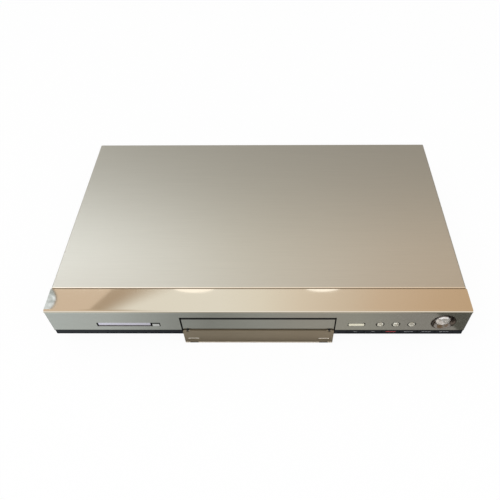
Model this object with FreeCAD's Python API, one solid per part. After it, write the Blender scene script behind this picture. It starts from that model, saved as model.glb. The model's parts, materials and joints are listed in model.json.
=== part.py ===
import FreeCAD, Part
import math
import os

os.makedirs("parts", exist_ok=True)

# DVD recorder with a drop-down flap before the disc tray.
# Millimetres. X runs to the right, Y from front to back, Z up.
# Inside this script Y is 0 at the front face; export() centres the whole object.

# Whole case
caseWidth = 430.0
caseHeight = 63.0
caseDepth = 264.5
feetHeight = 10.0
bandDepth = 28.3
sheet = 0.9
sheetPlay = 0.2
wall = 2.4
bendRadius = 2.0
cornerRound = 1.0
socketProud = 8.0
halfCase = caseWidth / 2.0
backInner = caseDepth - sheet
floorTop = feetHeight + sheet

# Top cover
coverEdgeRound = 0.8
lipDepth = 5.0
rearFlange = 8.0
sideSlots = 12
sideSlotPitch = 7.0
sideSlotWidth = 2.2
sideSlotLow = feetHeight + 16.0
sideSlotTall = caseHeight - 41.0
sideSlotBack = 40.0

# Mirror trim over the front of the top
trimRadius = 2.75
trimThick = 2.2
trimGap = 0.6
trimHooks = 7
trimHookPitch = 0.1395 * caseWidth

# Front heights, shared out over the case height
faceBottom = feetHeight + 0.336 * (caseHeight - feetHeight)
faceTall = caseHeight - faceBottom
stripLow = feetHeight + 1.0
stripRound = 13.0
stripStraight = faceBottom - stripLow - stripRound
stripStep = 0.4
stripEndRound = 1.6
stripInner = 0.4

# Disc opening and its flap
openingWidth = 160.6
openingTop = faceBottom + 0.673 * faceTall
sideField = halfCase - openingWidth / 2.0
sideGap = 0.6
flapWidth = openingWidth - 2 * sideGap
flapThick = 2.6
flapAxisY = 0.7
flapAxisZ = faceBottom - 1.45
flapInnerClosed = 1.3
flapTopGap = 0.9
flapReach = openingTop - flapTopGap - flapAxisZ
flapRootDrop = 0.3
flapRootRound = 0.3
flapEdgeRound = 0.8
lugX = 74.6
lugWidth = 1.8
lugRadius = 0.65
lugGap = 0.4
lugSlot = 2.2
earWidth = 1.8
earDrop = 2.4
pinRadius = 0.3
runFit = 0.05
rollerX = 70.0
rollerLength = 11.0
rollerRadius = 0.8
rollerReach = 16.0
rollerPocket = 1.9
latchWidth = 8.8
latchTall = 1.3
latchEdge = 0.5
latchDeep = 1.5
recessFloor = 3.6
windowThick = 2.0

# Disc tray
fasciaRecess = 1.65
fasciaTop = openingTop - 4.6
fasciaClear = 0.3
fasciaBottom = flapAxisZ + lugRadius + fasciaClear
fasciaGap = 0.8
fasciaThick = 2.4
railGap = 0.4
railTall = 1.8
trayWidth = 130.0
trayLength = 168.0
trayTop = faceBottom + 0.3324 * faceTall
trayThick = 2.2
discRadius = 60.5
smallDiscRadius = 40.5
smallDiscStep = 0.5
discPocket = 1.3
discCentreY = 75.0
hubSlot = 19.0
fingerRadius = 11.0
fingerShift = 47.0

# Card slot and its eject button
cardWidth = 54.0
cardX = -openingWidth / 2.0 - 0.4335 * sideField
cardZ = faceBottom + 0.3068 * faceTall
slotWidth = cardWidth + 2.8
slotHeight = 6.6
doorGap = 1.4
doorFace = 0.8
doorThick = 1.4
doorAxisY = 1.75
doorAxisDrop = 1.25
doorPin = 0.5
doorPinLong = 0.5
cageFront = 10.0
cageDepth = 92.0
cageTall = 8.4
cageSheet = 0.8
connectorDepth = 12.0
contacts = 17
contactPitch = 3.0
ejectX = cardX + 33.0
ejectWidth = 7.2
ejectHeight = 4.4
ejectGap = 0.9
ejectDrop = 0.4

# Buttons on the right
openX = openingWidth / 2.0 + 0.158 * sideField
openWidth = 16.0
openHeight = 3.4
openZ = faceBottom + 0.3068 * faceTall
roundX = openingWidth / 2.0 + 0.338 * sideField
roundPitch = 0.1206 * sideField
roundRadius = 3.5
roundHole = 4.5
roundZ = faceBottom + 0.327 * faceTall
roundProud = 1.4
buttonProud = 0.3
pressTravel = 1.0
keyTravel = 0.6
switchGap = 0.3
jogX = halfCase - 25.2
jogZ = faceBottom + 0.442 * faceTall
dishRadius = 12.8
dishDeep = 4.6
dishFlange = 1.4
knobRadius = 7.6
knobProud = 0.6
knobRibs = 24
shaftRadius = 3.0
encoderY = 10.6
encoderSize = 14.0
keyX = openingWidth / 2.0 + 0.161 * sideField
keyPitch = 0.138 * sideField
keyCount = 6
keyGap = 0.35
keyTop = faceBottom - 0.9
keyHeight = 4.4
keyThick = 1.8
buttonBoardY = 15.0

# Boards and loader frame
boardThick = 1.6
boardBottom = floorTop + 6.0
boardTop = boardBottom + boardThick
switchSize = 6.0
switchTall = 4.3
frameWidth = 146.0
frameFront = 15.0
frameDepth = 186.0
frameBottom = floorTop + 4.0
frameWall = 2.0

# Tray drive
gearModule = 1.0
gearTeeth = 20
gearX = 40.0
gearY = 26.0
motorX = 22.0
motorY = 34.0
motorRadius = 8.5
motorShaft = 1.0
pulleyRadius = 4.0
wheelRadius = 9.0
wheelThick = 3.0
postRadius = 2.0
beltZ = floorTop + 19.6
wheelLow = beltZ - wheelThick / 2.0
gearZ = trayTop - trayThick - 5.0
rackX = gearX + gearModule * gearTeeth / 2.0

# Traverse deck with the laser sled and the disc motor
traverseHalf = 44.0
traverseFront = discCentreY - 22.0
pivotY = discCentreY + 86.0
pivotZ = floorTop + 12.0
pivotRadius = 2.0
traverseTop = pivotZ + 3.0
hubRadius = 14.5
hubTop = trayTop - discPocket + 0.8
spindleShaft = 1.0
rodX = 29.0
rodZ = traverseTop + 1.2
rodRadius = 1.5
screwX = 36.5
screwZ = traverseTop - 0.4
screwRadius = 1.4
bridgeZ = hubTop + 6.2
bridgeThick = 1.2

# Screws and feet
screwHole = 1.6
screwHead = 3.2
screwHeadTall = 1.6
screwLong = 7.0
coverScrewX = (-0.3256 * caseWidth, 0.0, 0.3256 * caseWidth)
coverScrewZ = caseHeight - rearFlange / 2.0
rearScrewZ = feetHeight + 5.0
sideScrewZ = feetHeight + 11.0
footX = (-0.395 * caseWidth, 0.395 * caseWidth)
footY = (34.0, caseDepth - 32.5)
footRadius = 14.0
footPin = 2.5
padTall = 1.6

# Main board, tuner and rear sockets on the left
boardLeft = -halfCase + 10.0
boardRight = -frameWidth / 2.0 - 5.0
boardFront = 32.0
boardBack = caseDepth - 14.0
tailFront = frameFront + frameDepth + 6.0
tailRight = 60.0
tunerX = -halfCase + 34.0
tunerWidth = 34.0
tunerDeep = 52.0
tunerTall = caseHeight - 33.0
tunerFront = boardBack - tunerDeep
aerialHeights = (8.0, tunerTall - 8.0)
aerialRadius = 4.6
aerialCollar = 6.4
mainChipX = boardLeft + 0.197 * (boardRight - boardLeft)
mainChipY = boardFront + 0.588 * (tunerFront - boardFront)
mainChipSize = 24.0
mainChipTall = 1.8
chipFinTall = 12.6
blockLeft = -halfCase + 57.0
blockWidth = 98.0
blockTall = caseHeight - 27.0
blockFront = caseDepth - 26.0
jackRows = 3
jackColumns = 5
jackPitch = 15.0
jackMargin = 8.0
jackRise = 4.6
jackRowPitch = (blockTall - 9.0) / 2.0
jackRadius = 4.15
jackBore = 1.7
dataJackX = blockLeft + 87.0
dataJackRadius = 4.6

# Power board on the right
powerLeft = frameWidth / 2.0 + 6.0
powerRight = halfCase - 8.0
powerFront = 40.0
powerBack = caseDepth - 46.0
coilX = powerLeft + 55.0
coilY = powerBack - 84.5
finLeft = powerRight - 41.0
finRight = powerRight - 7.0
finFront = powerFront + 22.0
finBack = powerFront + 68.0

# Rear panel, inlet and fan
panelBack = caseDepth - 2 * sheet
panelFront = panelBack - sheet
inletX = halfCase - 25.0
inletZ = floorTop + 21.1
ventCount = 10
ventLeft = 0.21 * caseWidth
ventPitch = 0.0186 * caseWidth
ventWidth = 3.4
ventLow = feetHeight + 10.0
ventHigh = caseHeight - 15.0
fanSize = 40.0
fanThick = 10.0
fanX = 0.093 * caseWidth
fanZ = floorTop + 3.0 + fanSize / 2.0
fanBack = panelFront - sheet
fanHub = 8.0
fanShaft = 1.2
fanBlades = 7
rearScrewX = (-halfCase + 15.0, blockLeft + blockWidth + 8.0, fanX + 32.0, halfCase - 15.0)

yCentre = (caseDepth + socketProud - roundProud) / 2.0
written = []


def vec(x, y, z):
    return FreeCAD.Vector(x, y, z)


def box(x0, x1, y0, y1, z0, z1):
    return Part.makeBox(x1 - x0, y1 - y0, z1 - z0, vec(x0, y0, z0))


def rod(x, y, z, radius, length, direction):
    return Part.makeCylinder(radius, length, vec(x, y, z), vec(*direction))


def tube(x, y, z, outer, inner, length, direction):
    return rod(x, y, z, outer, length, direction).cut(rod(x, y, z, inner, length, direction))


def cone(x, y, z, first, last, length, direction):
    return Part.makeCone(first, last, length, vec(x, y, z), vec(*direction))


def prism(points, depth):
    """Close a flat outline of points and push it along the vector depth."""
    wire = Part.makePolygon([vec(*p) for p in points] + [vec(*points[0])])
    return Part.Face(wire).extrude(vec(*depth))


def fuse(shapes):
    result = shapes[0]
    if len(shapes) > 1:
        result = shapes[0].fuse(shapes[1:])
    return result.removeSplitter()


def rounded(x0, x1, y0, y1, z0, z1, radius, axis):
    """A box whose four edges along one axis are rounded."""
    block = box(x0, x1, y0, y1, z0, z1)
    picked = []
    for edge in block.Edges:
        run = edge.tangentAt(edge.FirstParameter)
        if abs(run.dot(vec(*axis))) > 0.9:
            picked.append(edge)
    return block.makeFillet(radius, picked)


def edgesAt(shape, **place):
    """The edges whose middle lies at the given x, y or z."""
    found = []
    for edge in shape.Edges:
        middle = edge.valueAt((edge.FirstParameter + edge.LastParameter) / 2.0)
        if all(abs(getattr(middle, name) - value) < 0.01 for name, value in place.items()):
            found.append(edge)
    return found


def spin(points, x, y, z, direction):
    """Turn a profile of (radius, height) points about an axis through x, y, z."""
    corners = [vec(radius, 0, height) for radius, height in points]
    wire = Part.makePolygon(corners + corners[:1])
    solid = Part.Face(wire).revolve(vec(0, 0, 0), vec(0, 0, 1), 360)
    solid.Placement = FreeCAD.Placement(vec(x, y, z), FreeCAD.Rotation(vec(0, 0, 1), vec(*direction)))
    return solid


def export(name, shapes):
    """Write one node: a single solid, or several separate solids in one file."""
    solids = []
    for shape in shapes:
        solids.extend(shape.Solids)
    node = Part.makeCompound(solids)
    if len(solids) == 1:
        node = solids[0]
    node = node.copy()
    node.translate(vec(0, -yCentre, 0))
    node.exportStep("parts/" + name + ".step")
    written.append(name)
    print(name, len(solids), node.isValid(), round(node.Volume))


def topCover():
    """Folded sheet: top, two sides, a rounded front edge with a lip, and a rear flange."""
    front = bandDepth
    outer = rounded(-halfCase, halfCase, front, caseDepth, feetHeight, caseHeight, bendRadius, (0, 1, 0))
    outer = outer.cut(box(-halfCase, halfCase, front, caseDepth, feetHeight - 1, feetHeight + bendRadius))
    outer = outer.makeFillet(coverEdgeRound, edgesAt(outer, y=front, z=caseHeight))
    inner = rounded(-halfCase + sheet, halfCase - sheet, front - 1, backInner, 0, caseHeight - sheet,
                    bendRadius - sheet, (0, 1, 0))
    shell = outer.cut(inner)
    lip = box(-halfCase + bendRadius, halfCase - bendRadius, front, front + sheet,
              caseHeight - lipDepth, caseHeight - coverEdgeRound)
    shell = shell.fuse(lip)
    window = box(-halfCase + rearFlange, halfCase - rearFlange, backInner - 1, caseDepth + 1,
                 0, caseHeight - rearFlange)
    shell = shell.cut(window)
    for index in range(sideSlots):
        y = caseDepth - sideSlotBack - index * sideSlotPitch
        for x in (-halfCase - 1, halfCase - sheet - 1):
            slot = rounded(x, x + sheet + 2, y, y + sideSlotWidth, sideSlotLow, sideSlotLow + sideSlotTall,
                           sideSlotWidth / 2.0 - 0.1, (1, 0, 0))
            shell = shell.cut(slot)
    for x, y, z, direction in sideScrews():
        shell = shell.cut(rod(x - 3 * direction[0], y, z, screwHole, 6, direction))
    for x in coverScrewX:
        shell = shell.cut(rod(x, caseDepth - 3, coverScrewZ, screwHole, 6, (0, 1, 0)))
    return shell.removeSplitter()


def sideScrews():
    """Place and outward direction of the two screws on each side."""
    found = []
    for y in (bandDepth + 32.0, caseDepth - 24.0):
        found.append((-halfCase, y, sideScrewZ, (-1, 0, 0)))
        found.append((halfCase, y, sideScrewZ, (1, 0, 0)))
    return found


def screw(x, y, z, direction):
    """A domed screw whose head sits on the surface at x, y, z and faces along direction."""
    back = tuple(-value for value in direction)
    head = spin([(0, 0), (screwHead, 0), (screwHead, 0.5), (screwHead * 0.72, screwHeadTall),
                 (0, screwHeadTall)], x, y, z, direction)
    return head.fuse(rod(x, y, z, screwHole, screwLong, back))


def caseScrews():
    screws = []
    for x, y, z, direction in sideScrews():
        screws.append(screw(x, y, z, direction))
    for x in coverScrewX:
        screws.append(screw(x, caseDepth, coverScrewZ, (0, 1, 0)))
    for x in rearScrewX:
        screws.append(screw(x, panelBack, rearScrewZ, (0, 1, 0)))
    return screws


def baseChassis():
    """Pressed sheet tray: floor with raised beads and vents, side flanges and a rear flange."""
    half = halfCase - sheet - sheetPlay
    front = wall + 14.0
    back = panelFront
    sideTall = 16.0
    rearTall = 8.0
    parts = [box(-half, half, front, back, feetHeight, floorTop)]
    parts.append(box(-half, -half + sheet, bandDepth + 1, back, feetHeight, feetHeight + sideTall))
    parts.append(box(half - sheet, half, bandDepth + 1, back, feetHeight, feetHeight + sideTall))
    parts.append(box(-half, half, back - sheet, back, feetHeight, feetHeight + rearTall))
    beadX = 0.349 * caseWidth
    beadRadius = 6.0
    beadTall = 1.6
    beadFront = 60.0
    beadBack = caseDepth - 54.5
    for x in (-beadX, beadX):
        bead = rod(x, beadFront, floorTop + beadTall - beadRadius, beadRadius,
                   beadBack - beadFront, (0, 1, 0))
        above = box(x - 8, x + 8, beadFront, beadBack, feetHeight + sheet / 2.0, feetHeight + 8)
        parts.append(bead.common(above))
    chassis = fuse(parts)
    ventX = 0.14 * caseWidth
    for row in range(3):
        for column in range(9):
            x = ventX + column * 9.0
            y = 0.416 * caseDepth + row * 30.0
            chassis = chassis.cut(rounded(x, x + 3, y, y + 20, feetHeight - 1, floorTop + 3, 1.4, (0, 0, 1)))
    for x in footX:
        for y in footY:
            chassis = chassis.cut(rod(x, y, feetHeight - 1, footPin + 0.1, 4, (0, 0, 1)))
    for x, y, z, direction in sideScrews():
        chassis = chassis.cut(rod(x - 6 * direction[0], y, z, screwHole, 8, direction))
    for x in rearScrewX:
        chassis = chassis.cut(rod(x, back - 4, rearScrewZ, screwHole, 6, (0, 1, 0)))
    return chassis


def feet():
    """Drum feet with a fixing pin, tapered towards the floor, each on a rubber ring."""
    shapes = []
    neck = padTall + 1.0
    for x in footX:
        for y in footY:
            drum = spin([(footPin, neck), (footRadius - 2.4, neck), (footRadius - 2.0, padTall),
                         (footRadius - 0.8, padTall), (footRadius, feetHeight), (footPin, feetHeight)],
                        x, y, 0, (0, 0, 1))
            pin = rod(x, y, neck, footPin, feetHeight + 0.6, (0, 0, 1))
            shapes.append(fuse([drum, pin]))
            shapes.append(tube(x, y, 0, footRadius - 0.9, footRadius - 2.6, padTall, (0, 0, 1)))
    return shapes


def mirrorBand():
    """Mirror-finished trim over the front of the top, with a rounded front edge and hooks below."""
    back = bandDepth - trimGap
    block = box(-halfCase, halfCase, 0, back, caseHeight - trimRadius, caseHeight)
    block = block.makeFillet(trimRadius - 0.05, edgesAt(block, y=0, z=caseHeight))
    hollow = box(-halfCase + trimThick, halfCase - trimThick, trimThick, bandDepth,
                 caseHeight - trimRadius - 1, caseHeight - trimThick)
    parts = [block.cut(hollow)]
    for index in range(trimHooks):
        x = (index - (trimHooks - 1) / 2.0) * trimHookPitch
        parts.append(box(x - 4, x + 4, back - 3.7, back, caseHeight - 6.5, caseHeight - trimThick))
    return fuse(parts)


def stripSolid(half, inset):
    """The lower front below the silver face: straight, then curving back under the case."""
    y0 = stripStep + inset
    straight = faceBottom - stripStraight
    radius = stripRound - inset
    centreY = stripStep + stripRound
    low = straight - radius
    slant = radius * math.sqrt(0.5)
    corners = [vec(-half, y0, faceBottom), vec(-half, y0, straight), vec(-half, centreY, low),
               vec(-half, bandDepth, low), vec(-half, bandDepth, faceBottom)]
    bend = Part.Arc(corners[1], vec(-half, centreY - slant, straight - slant), corners[2])
    line = [Part.LineSegment(corners[0], corners[1]).toShape(), bend.toShape()]
    for index in (2, 3, 4):
        line.append(Part.LineSegment(corners[index], corners[(index + 1) % 5]).toShape())
    return Part.Face(Part.Wire(line)).extrude(vec(2 * half, 0, 0))


def faceOpenings():
    """The cuts through the front: disc opening, card slot, buttons, jog dish and key stems."""
    behind = wall + 1
    opening = openingWidth / 2.0
    slotLow = cardZ - slotHeight / 2.0
    slotHigh = cardZ + slotHeight / 2.0
    slotRight = cardX + slotWidth / 2.0
    ejectRight = ejectX + ejectWidth / 2.0 + ejectGap
    cuts = [box(-opening, opening, -1, wall + 0.01, faceBottom - 1, openingTop)]
    cuts.append(rounded(cardX - slotWidth / 2.0, slotRight, -1, behind, slotLow, slotHigh, 0.8, (0, 1, 0)))
    cuts.append(rounded(slotRight - 2.0, ejectRight, -1, behind, slotLow, slotHigh, 0.8, (0, 1, 0)))
    cuts.append(rounded(openX - openWidth / 2.0 - 0.9, openX + openWidth / 2.0 + 0.9, -1, behind,
                        openZ - openHeight / 2.0 - 0.9, openZ + openHeight / 2.0 + 1.5, 0.8, (0, 1, 0)))
    for index in range(3):
        cuts.append(rod(roundX + index * roundPitch, -1, roundZ, roundHole, behind + 1, (0, 1, 0)))
    cuts.append(rod(jogX, -1, jogZ, dishRadius, behind + 1, (0, 1, 0)))
    cuts.append(rod(jogX, wall, jogZ, dishRadius + dishFlange + 0.4, 3 * wall, (0, 1, 0)))
    for index in range(keyCount):
        x = keyX + index * keyPitch
        cuts.append(box(x - 2.2, x + 2.2, wall, buttonBoardY - 1, keyTop - 3.9, keyTop - 0.1))
    return cuts


def frontPanel():
    """Moulded silver front: face, side returns, inner rail with the flap's hinge lugs, stem holes."""
    half = halfCase
    top = caseHeight - trimRadius
    under = caseHeight - trimThick
    back = bandDepth - trimGap
    opening = openingWidth / 2.0
    face = fuse([box(-half, half, 0, wall, faceBottom, top),
                 box(-half, -half + wall, 0, back, faceBottom, top),
                 box(half - wall, half, 0, back, faceBottom, top)])
    corners = edgesAt(face, x=-half, y=0) + edgesAt(face, x=half, y=0)
    parts = [face.makeFillet(cornerRound, corners)]
    parts.append(box(-half + wall, half - wall, wall, back - 4.0, under - 1.8, under))
    for x0 in (-half, half - wall):
        parts.append(stripSolid(half, wall).common(box(x0, x0 + wall, 0, back, 0, faceBottom)))
    inner = stripSolid(half, wall).cut(stripSolid(half + 1, 2 * wall - stripInner))
    parts.append(inner.cut(box(-opening, opening, -1, bandDepth, 0, faceBottom + 1)))
    ledge = box(-half, half, wall, 3 * wall, faceBottom, faceBottom + wall)
    parts.append(ledge.cut(box(-opening - wall, opening + wall, 0, 20, 0, caseHeight)))
    keep = stripSolid(half, wall).fuse(box(-half, half, 0, 20, faceBottom, caseHeight))
    for side in (-1, 1):
        middle = side * (opening + wall / 2.0)
        cheek = box(middle - wall / 2.0, middle + wall / 2.0, wall, frameFront - 1.0,
                    stripLow + wall, openingTop + wall)
        parts.append(cheek.common(keep))
    parts.append(box(-opening - wall, opening + wall, wall, 9.0, openingTop, openingTop + wall))
    panel = fuse(parts)
    for cut in faceOpenings():
        panel = panel.cut(cut)
    railTop = fasciaBottom - railGap
    lugs = [panel, box(-opening - wall, opening + wall, recessFloor, recessFloor + 3.0,
                       railTop - railTall, railTop)]
    for side in (-1, 1):
        x0 = side * lugX - lugWidth / 2.0
        arm = prism([(x0, recessFloor + 1, railTop), (x0, recessFloor + 1, railTop - railTall),
                     (x0, flapAxisY, flapAxisZ - lugRadius), (x0, flapAxisY, flapAxisZ + lugRadius)],
                    (lugWidth, 0, 0))
        lugs.append(arm.fuse(rod(x0, flapAxisY, flapAxisZ, lugRadius, lugWidth, (1, 0, 0))))
    panel = fuse(lugs)
    for side in (-1, 1):
        x0 = side * lugX - lugWidth
        panel = panel.cut(rod(x0, flapAxisY, flapAxisZ, pinRadius + runFit, 2 * lugWidth, (1, 0, 0)))
    return panel


def stripPiece(side):
    """A glossy lower strip beside the disc opening, its outer end rounded in plan."""
    low = min(side * openingWidth / 2.0, side * halfCase)
    high = max(side * openingWidth / 2.0, side * halfCase)
    shell = stripSolid(halfCase, 0.0).cut(stripSolid(halfCase + 1, wall))
    keep = box(low, high, stripStep, bandDepth - 0.5, 0, caseHeight)
    keep = keep.makeFillet(stripEndRound, edgesAt(keep, x=side * halfCase, y=stripStep))
    return shell.common(keep)


def stripRight():
    """The right strip, open where its flat keys sit."""
    strip = stripPiece(1)
    wide = keyPitch / 2.0 - keyGap / 2.0
    for index in range(keyCount):
        x = keyX + index * keyPitch
        strip = strip.cut(box(x - wide, x + wide, -1, wall + 2, keyTop - keyHeight - keyGap, keyTop + keyGap))
    return strip


def key(index):
    """A flat key that follows the strip's surface, with a stem to its switch."""
    x = keyX + index * keyPitch
    wide = keyPitch / 2.0 - keyGap - 0.15
    cap = stripSolid(halfCase, 0.0).cut(stripSolid(halfCase + 1, keyThick))
    cap = cap.common(box(x - wide, x + wide, 0, 9, keyTop - keyHeight + 0.1, keyTop))
    stemEnd = buttonBoardY - switchTall - keyTravel - switchGap
    stem = box(x - 1.5, x + 1.5, stripStep + keyThick - 0.6, stemEnd, keyTop - 3.2, keyTop - 0.8)
    return fuse([cap, stem])


def displayWindow():
    """Clear dark window that closes the recess behind the hanging flap."""
    half = openingWidth / 2.0 - 0.2
    top = fasciaBottom - railGap - railTall - 0.05
    footTop = stripLow + 4.0
    pane = box(-half, half, recessFloor, recessFloor + windowThick, footTop, top)
    foot = stripSolid(half, 0.0).cut(stripSolid(half + 1, windowThick))
    foot = foot.common(box(-half, half, recessFloor + 1.0, bandDepth - 0.5, stripLow, footTop))
    return fuse([pane, foot])


def displayTube():
    """Glass display tube with its sealed tip, and the small board it stands on."""
    low = stripLow + 5.2
    front = recessFloor + windowThick
    half = 58.0
    deep = 4.4
    tall = 7.8
    glass = rounded(-half, half, front, front + deep, low, low + tall, 1.0, (1, 0, 0))
    tip = cone(half - 0.5, front + deep / 2.0, low + tall / 2.0, 1.6, 0.7, 5.0, (1, 0, 0))
    board = box(-half - 8, half + 8, front + deep, front + deep + boardThick, low, low + tall + 0.4)
    return [fuse([glass, tip]), board]


def frontFlap():
    """Drop-down flap, drawn hanging: rim, roller pockets, latch slots, notches and hinge ears."""
    half = flapWidth / 2.0
    inner = 2 * flapAxisY - flapInnerClosed
    outer = inner + flapThick
    top = flapAxisZ - flapRootDrop
    low = flapAxisZ - flapReach
    plate = rounded(-half, half, inner, outer, low, top, 0.5, (0, 1, 0))
    plate = plate.makeFillet(flapEdgeRound, edgesAt(plate, y=outer))
    parts = [plate.makeFillet(flapRootRound, edgesAt(plate, y=inner, z=top))]
    for side in (-1, 1):
        for shift in (-1, 1):
            centre = side * lugX + shift * (lugWidth / 2.0 + lugGap + earWidth / 2.0)
            x0 = centre - earWidth / 2.0
            arm = prism([(x0, inner + 0.2, flapAxisZ - earDrop), (x0, outer - 0.8, flapAxisZ - earDrop),
                         (x0, flapAxisY + lugRadius, flapAxisZ),
                         (x0, flapAxisY - lugRadius, flapAxisZ)], (earWidth, 0, 0))
            parts.append(arm.fuse(rod(x0, flapAxisY, flapAxisZ, lugRadius, earWidth, (1, 0, 0))))
    flap = fuse(parts)
    rollerZ = flapAxisZ - rollerReach
    wide = rollerLength / 2.0 + 0.5
    for side in (-1, 1):
        x0 = side * lugX - lugWidth / 2.0 - lugGap
        middle = side * rollerX
        flap = flap.cut(box(x0, x0 + lugWidth + 2 * lugGap, inner - 1, outer + 1,
                            flapAxisZ - lugSlot, caseHeight))
        flap = flap.cut(rod(side * lugX - 6, flapAxisY, flapAxisZ, pinRadius, 12, (1, 0, 0)))
        flap = flap.cut(rounded(middle - wide, middle + wide, inner - 1, inner + rollerPocket,
                                rollerZ - 1.5, rollerZ + 1.5, 0.4, (0, 1, 0)))
        flap = flap.cut(rod(middle - wide - 1.2, inner + rollerRadius + 0.15, rollerZ, 0.45,
                            2 * wide + 2.4, (1, 0, 0)))
        flap = flap.cut(box(middle - latchWidth / 2.0, middle + latchWidth / 2.0,
                            inner - 1, inner + latchDeep, low + latchEdge, low + latchEdge + latchTall))
    return flap


def flapPins():
    shapes = []
    length = lugWidth + 2 * lugGap + 2 * earWidth
    for side in (-1, 1):
        shapes.append(rod(side * lugX - length / 2.0, flapAxisY, flapAxisZ, pinRadius, length, (1, 0, 0)))
    return shapes


def flapRoller(side):
    """A waisted roller with a fine axle running in the flap's pocket."""
    y = 2 * flapAxisY - flapInnerClosed + rollerRadius + 0.15
    z = flapAxisZ - rollerReach
    half = rollerLength / 2.0
    waist = rollerRadius - 0.2
    body = spin([(0, 0), (rollerRadius, 0), (rollerRadius, 1.4), (waist, 1.8), (waist, rollerLength - 1.8),
                 (rollerRadius, rollerLength - 1.4), (rollerRadius, rollerLength), (0, rollerLength)],
                side * rollerX - half, y, z, (1, 0, 0))
    axle = rod(side * rollerX - half - 1.4, y, z, 0.4, rollerLength + 2.8, (1, 0, 0))
    return fuse([body, axle])


def cardDoor():
    """Sprung door in the card slot, hinged along its top edge."""
    half = slotWidth / 2.0 - doorGap
    axisZ = cardZ + slotHeight / 2.0 - doorAxisDrop
    plate = rounded(cardX - half, cardX + half, doorFace, doorFace + doorThick,
                    cardZ - slotHeight / 2.0 + 0.5, cardZ + slotHeight / 2.0 - 0.5, 0.4, (0, 1, 0))
    barrel = rod(cardX - half - doorPinLong, doorAxisY, axisZ, doorPin, 2 * (half + doorPinLong), (1, 0, 0))
    hub = rod(cardX - half, doorAxisY, axisZ, 0.95, 2 * half, (1, 0, 0))
    return fuse([plate, hub, barrel])


def openButton():
    """Oblong button with a lit face edge and a stem to its switch."""
    cap = rounded(openX - openWidth / 2.0, openX + openWidth / 2.0, -buttonProud, 3.4,
                  openZ - openHeight / 2.0, openZ + openHeight / 2.0, 0.7, (0, 1, 0))
    wide = openWidth / 2.0 + 1.7
    flange = box(openX - wide, openX + wide, wall + 0.3, wall + 1.1, openZ - 3.4, openZ + 3.8)
    stemEnd = buttonBoardY - switchTall - pressTravel - switchGap
    stem = box(openX - 3, openX + 3, wall + 0.6, stemEnd, openZ - 1.2, openZ + 1.2)
    return fuse([cap, flange, stem])


def roundButton(index):
    """A domed round button with a collar behind the face and a stem."""
    x = roundX + index * roundPitch
    collar = roundProud + wall + 0.3
    stem = roundProud + buttonBoardY - switchTall - pressTravel - switchGap
    profile = [(0, 0.0), (1.6, 0.08), (2.7, 0.35), (roundRadius - 0.1, 0.9), (roundRadius, 1.2),
               (roundRadius, collar), (roundHole + 0.6, collar), (roundHole + 0.6, collar + 0.8),
               (1.5, collar + 0.8), (1.5, stem), (0, stem)]
    return spin(profile, x, -roundProud, roundZ, (0, 1, 0))


def ejectButton():
    low = cardZ - ejectHeight / 2.0 - ejectDrop
    cap = rounded(ejectX - ejectWidth / 2.0, ejectX + ejectWidth / 2.0, -buttonProud, 4.0,
                  low, low + ejectHeight, 0.6, (0, 1, 0))
    bar = box(ejectX - 1.6, ejectX + 1.6, 3.0, cageFront - 1.0, cardZ - 1.6, cardZ + 0.8)
    return fuse([cap, bar])


def jogDish():
    """Dished ring around the knob: rim, conical wall and a floor with the shaft hole."""
    outer = dishRadius - 0.1
    profile = [(shaftRadius + 0.4, dishDeep + 1.4), (shaftRadius + 0.4, dishDeep),
               (knobRadius + 0.9, dishDeep), (outer - 1.1, 0.5), (outer - 0.5, 0.0), (outer, 0.0),
               (outer, wall), (outer + dishFlange, wall + 0.01), (outer + dishFlange, wall + 1.2),
               (outer - 0.2, wall + 1.6), (knobRadius + 1.6, dishDeep + 1.4)]
    return spin(profile, jogX, 0, jogZ, (0, 1, 0))


def jogKnob():
    """Turned knob: shallow domed face, ribbed skirt and a shaft to the encoder."""
    height = dishDeep - pressTravel - 0.3 + knobProud
    shaftEnd = encoderY - 1.6 + knobProud
    profile = [(0, 0.0), (2.6, 0.16), (4.8, 0.6), (6.2, 1.2), (knobRadius - 0.2, 2.1), (knobRadius, 2.6),
               (knobRadius, height), (shaftRadius, height), (shaftRadius, shaftEnd), (0, shaftEnd)]
    knob = spin(profile, jogX, -knobProud, jogZ, (0, 1, 0))
    for index in range(knobRibs):
        angle = 2 * math.pi * index / knobRibs
        x = jogX + (knobRadius + 0.35) * math.cos(angle)
        z = jogZ + (knobRadius + 0.35) * math.sin(angle)
        knob = knob.cut(rod(x, -knobProud + 2.2, z, 0.6, height, (0, 1, 0)))
    return knob


def jogEncoder():
    half = encoderSize / 2.0
    bushFront = dishDeep + 1.7
    bush = tube(jogX, bushFront, jogZ, 5.0, shaftRadius + runFit, encoderY - bushFront, (0, 1, 0))
    body = rounded(jogX - half, jogX + half, encoderY, buttonBoardY, jogZ - half, jogZ + half, 1.2, (0, 1, 0))
    return fuse([bush, body])


def tactSwitch(x, z):
    half = switchSize / 2.0
    case = box(x - half, x + half, buttonBoardY - switchTall + 1.0, buttonBoardY, z - half, z + half)
    return case.fuse(rod(x, buttonBoardY - switchTall, z, 1.5, 1.2, (0, 1, 0)))


def frontBoard():
    """Circuit board behind the right half of the front, with a switch for each button."""
    board = box(openingWidth / 2.0 + wall + 3.4, halfCase - 4.0, buttonBoardY, buttonBoardY + boardThick,
                stripLow + 5.0, caseHeight - 7.0)
    parts = [board, tactSwitch(openX, openZ)]
    for index in range(3):
        parts.append(tactSwitch(roundX + index * roundPitch, roundZ))
    for index in range(keyCount):
        parts.append(tactSwitch(keyX + index * keyPitch, keyTop - 2.0))
    return fuse(parts)


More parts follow.
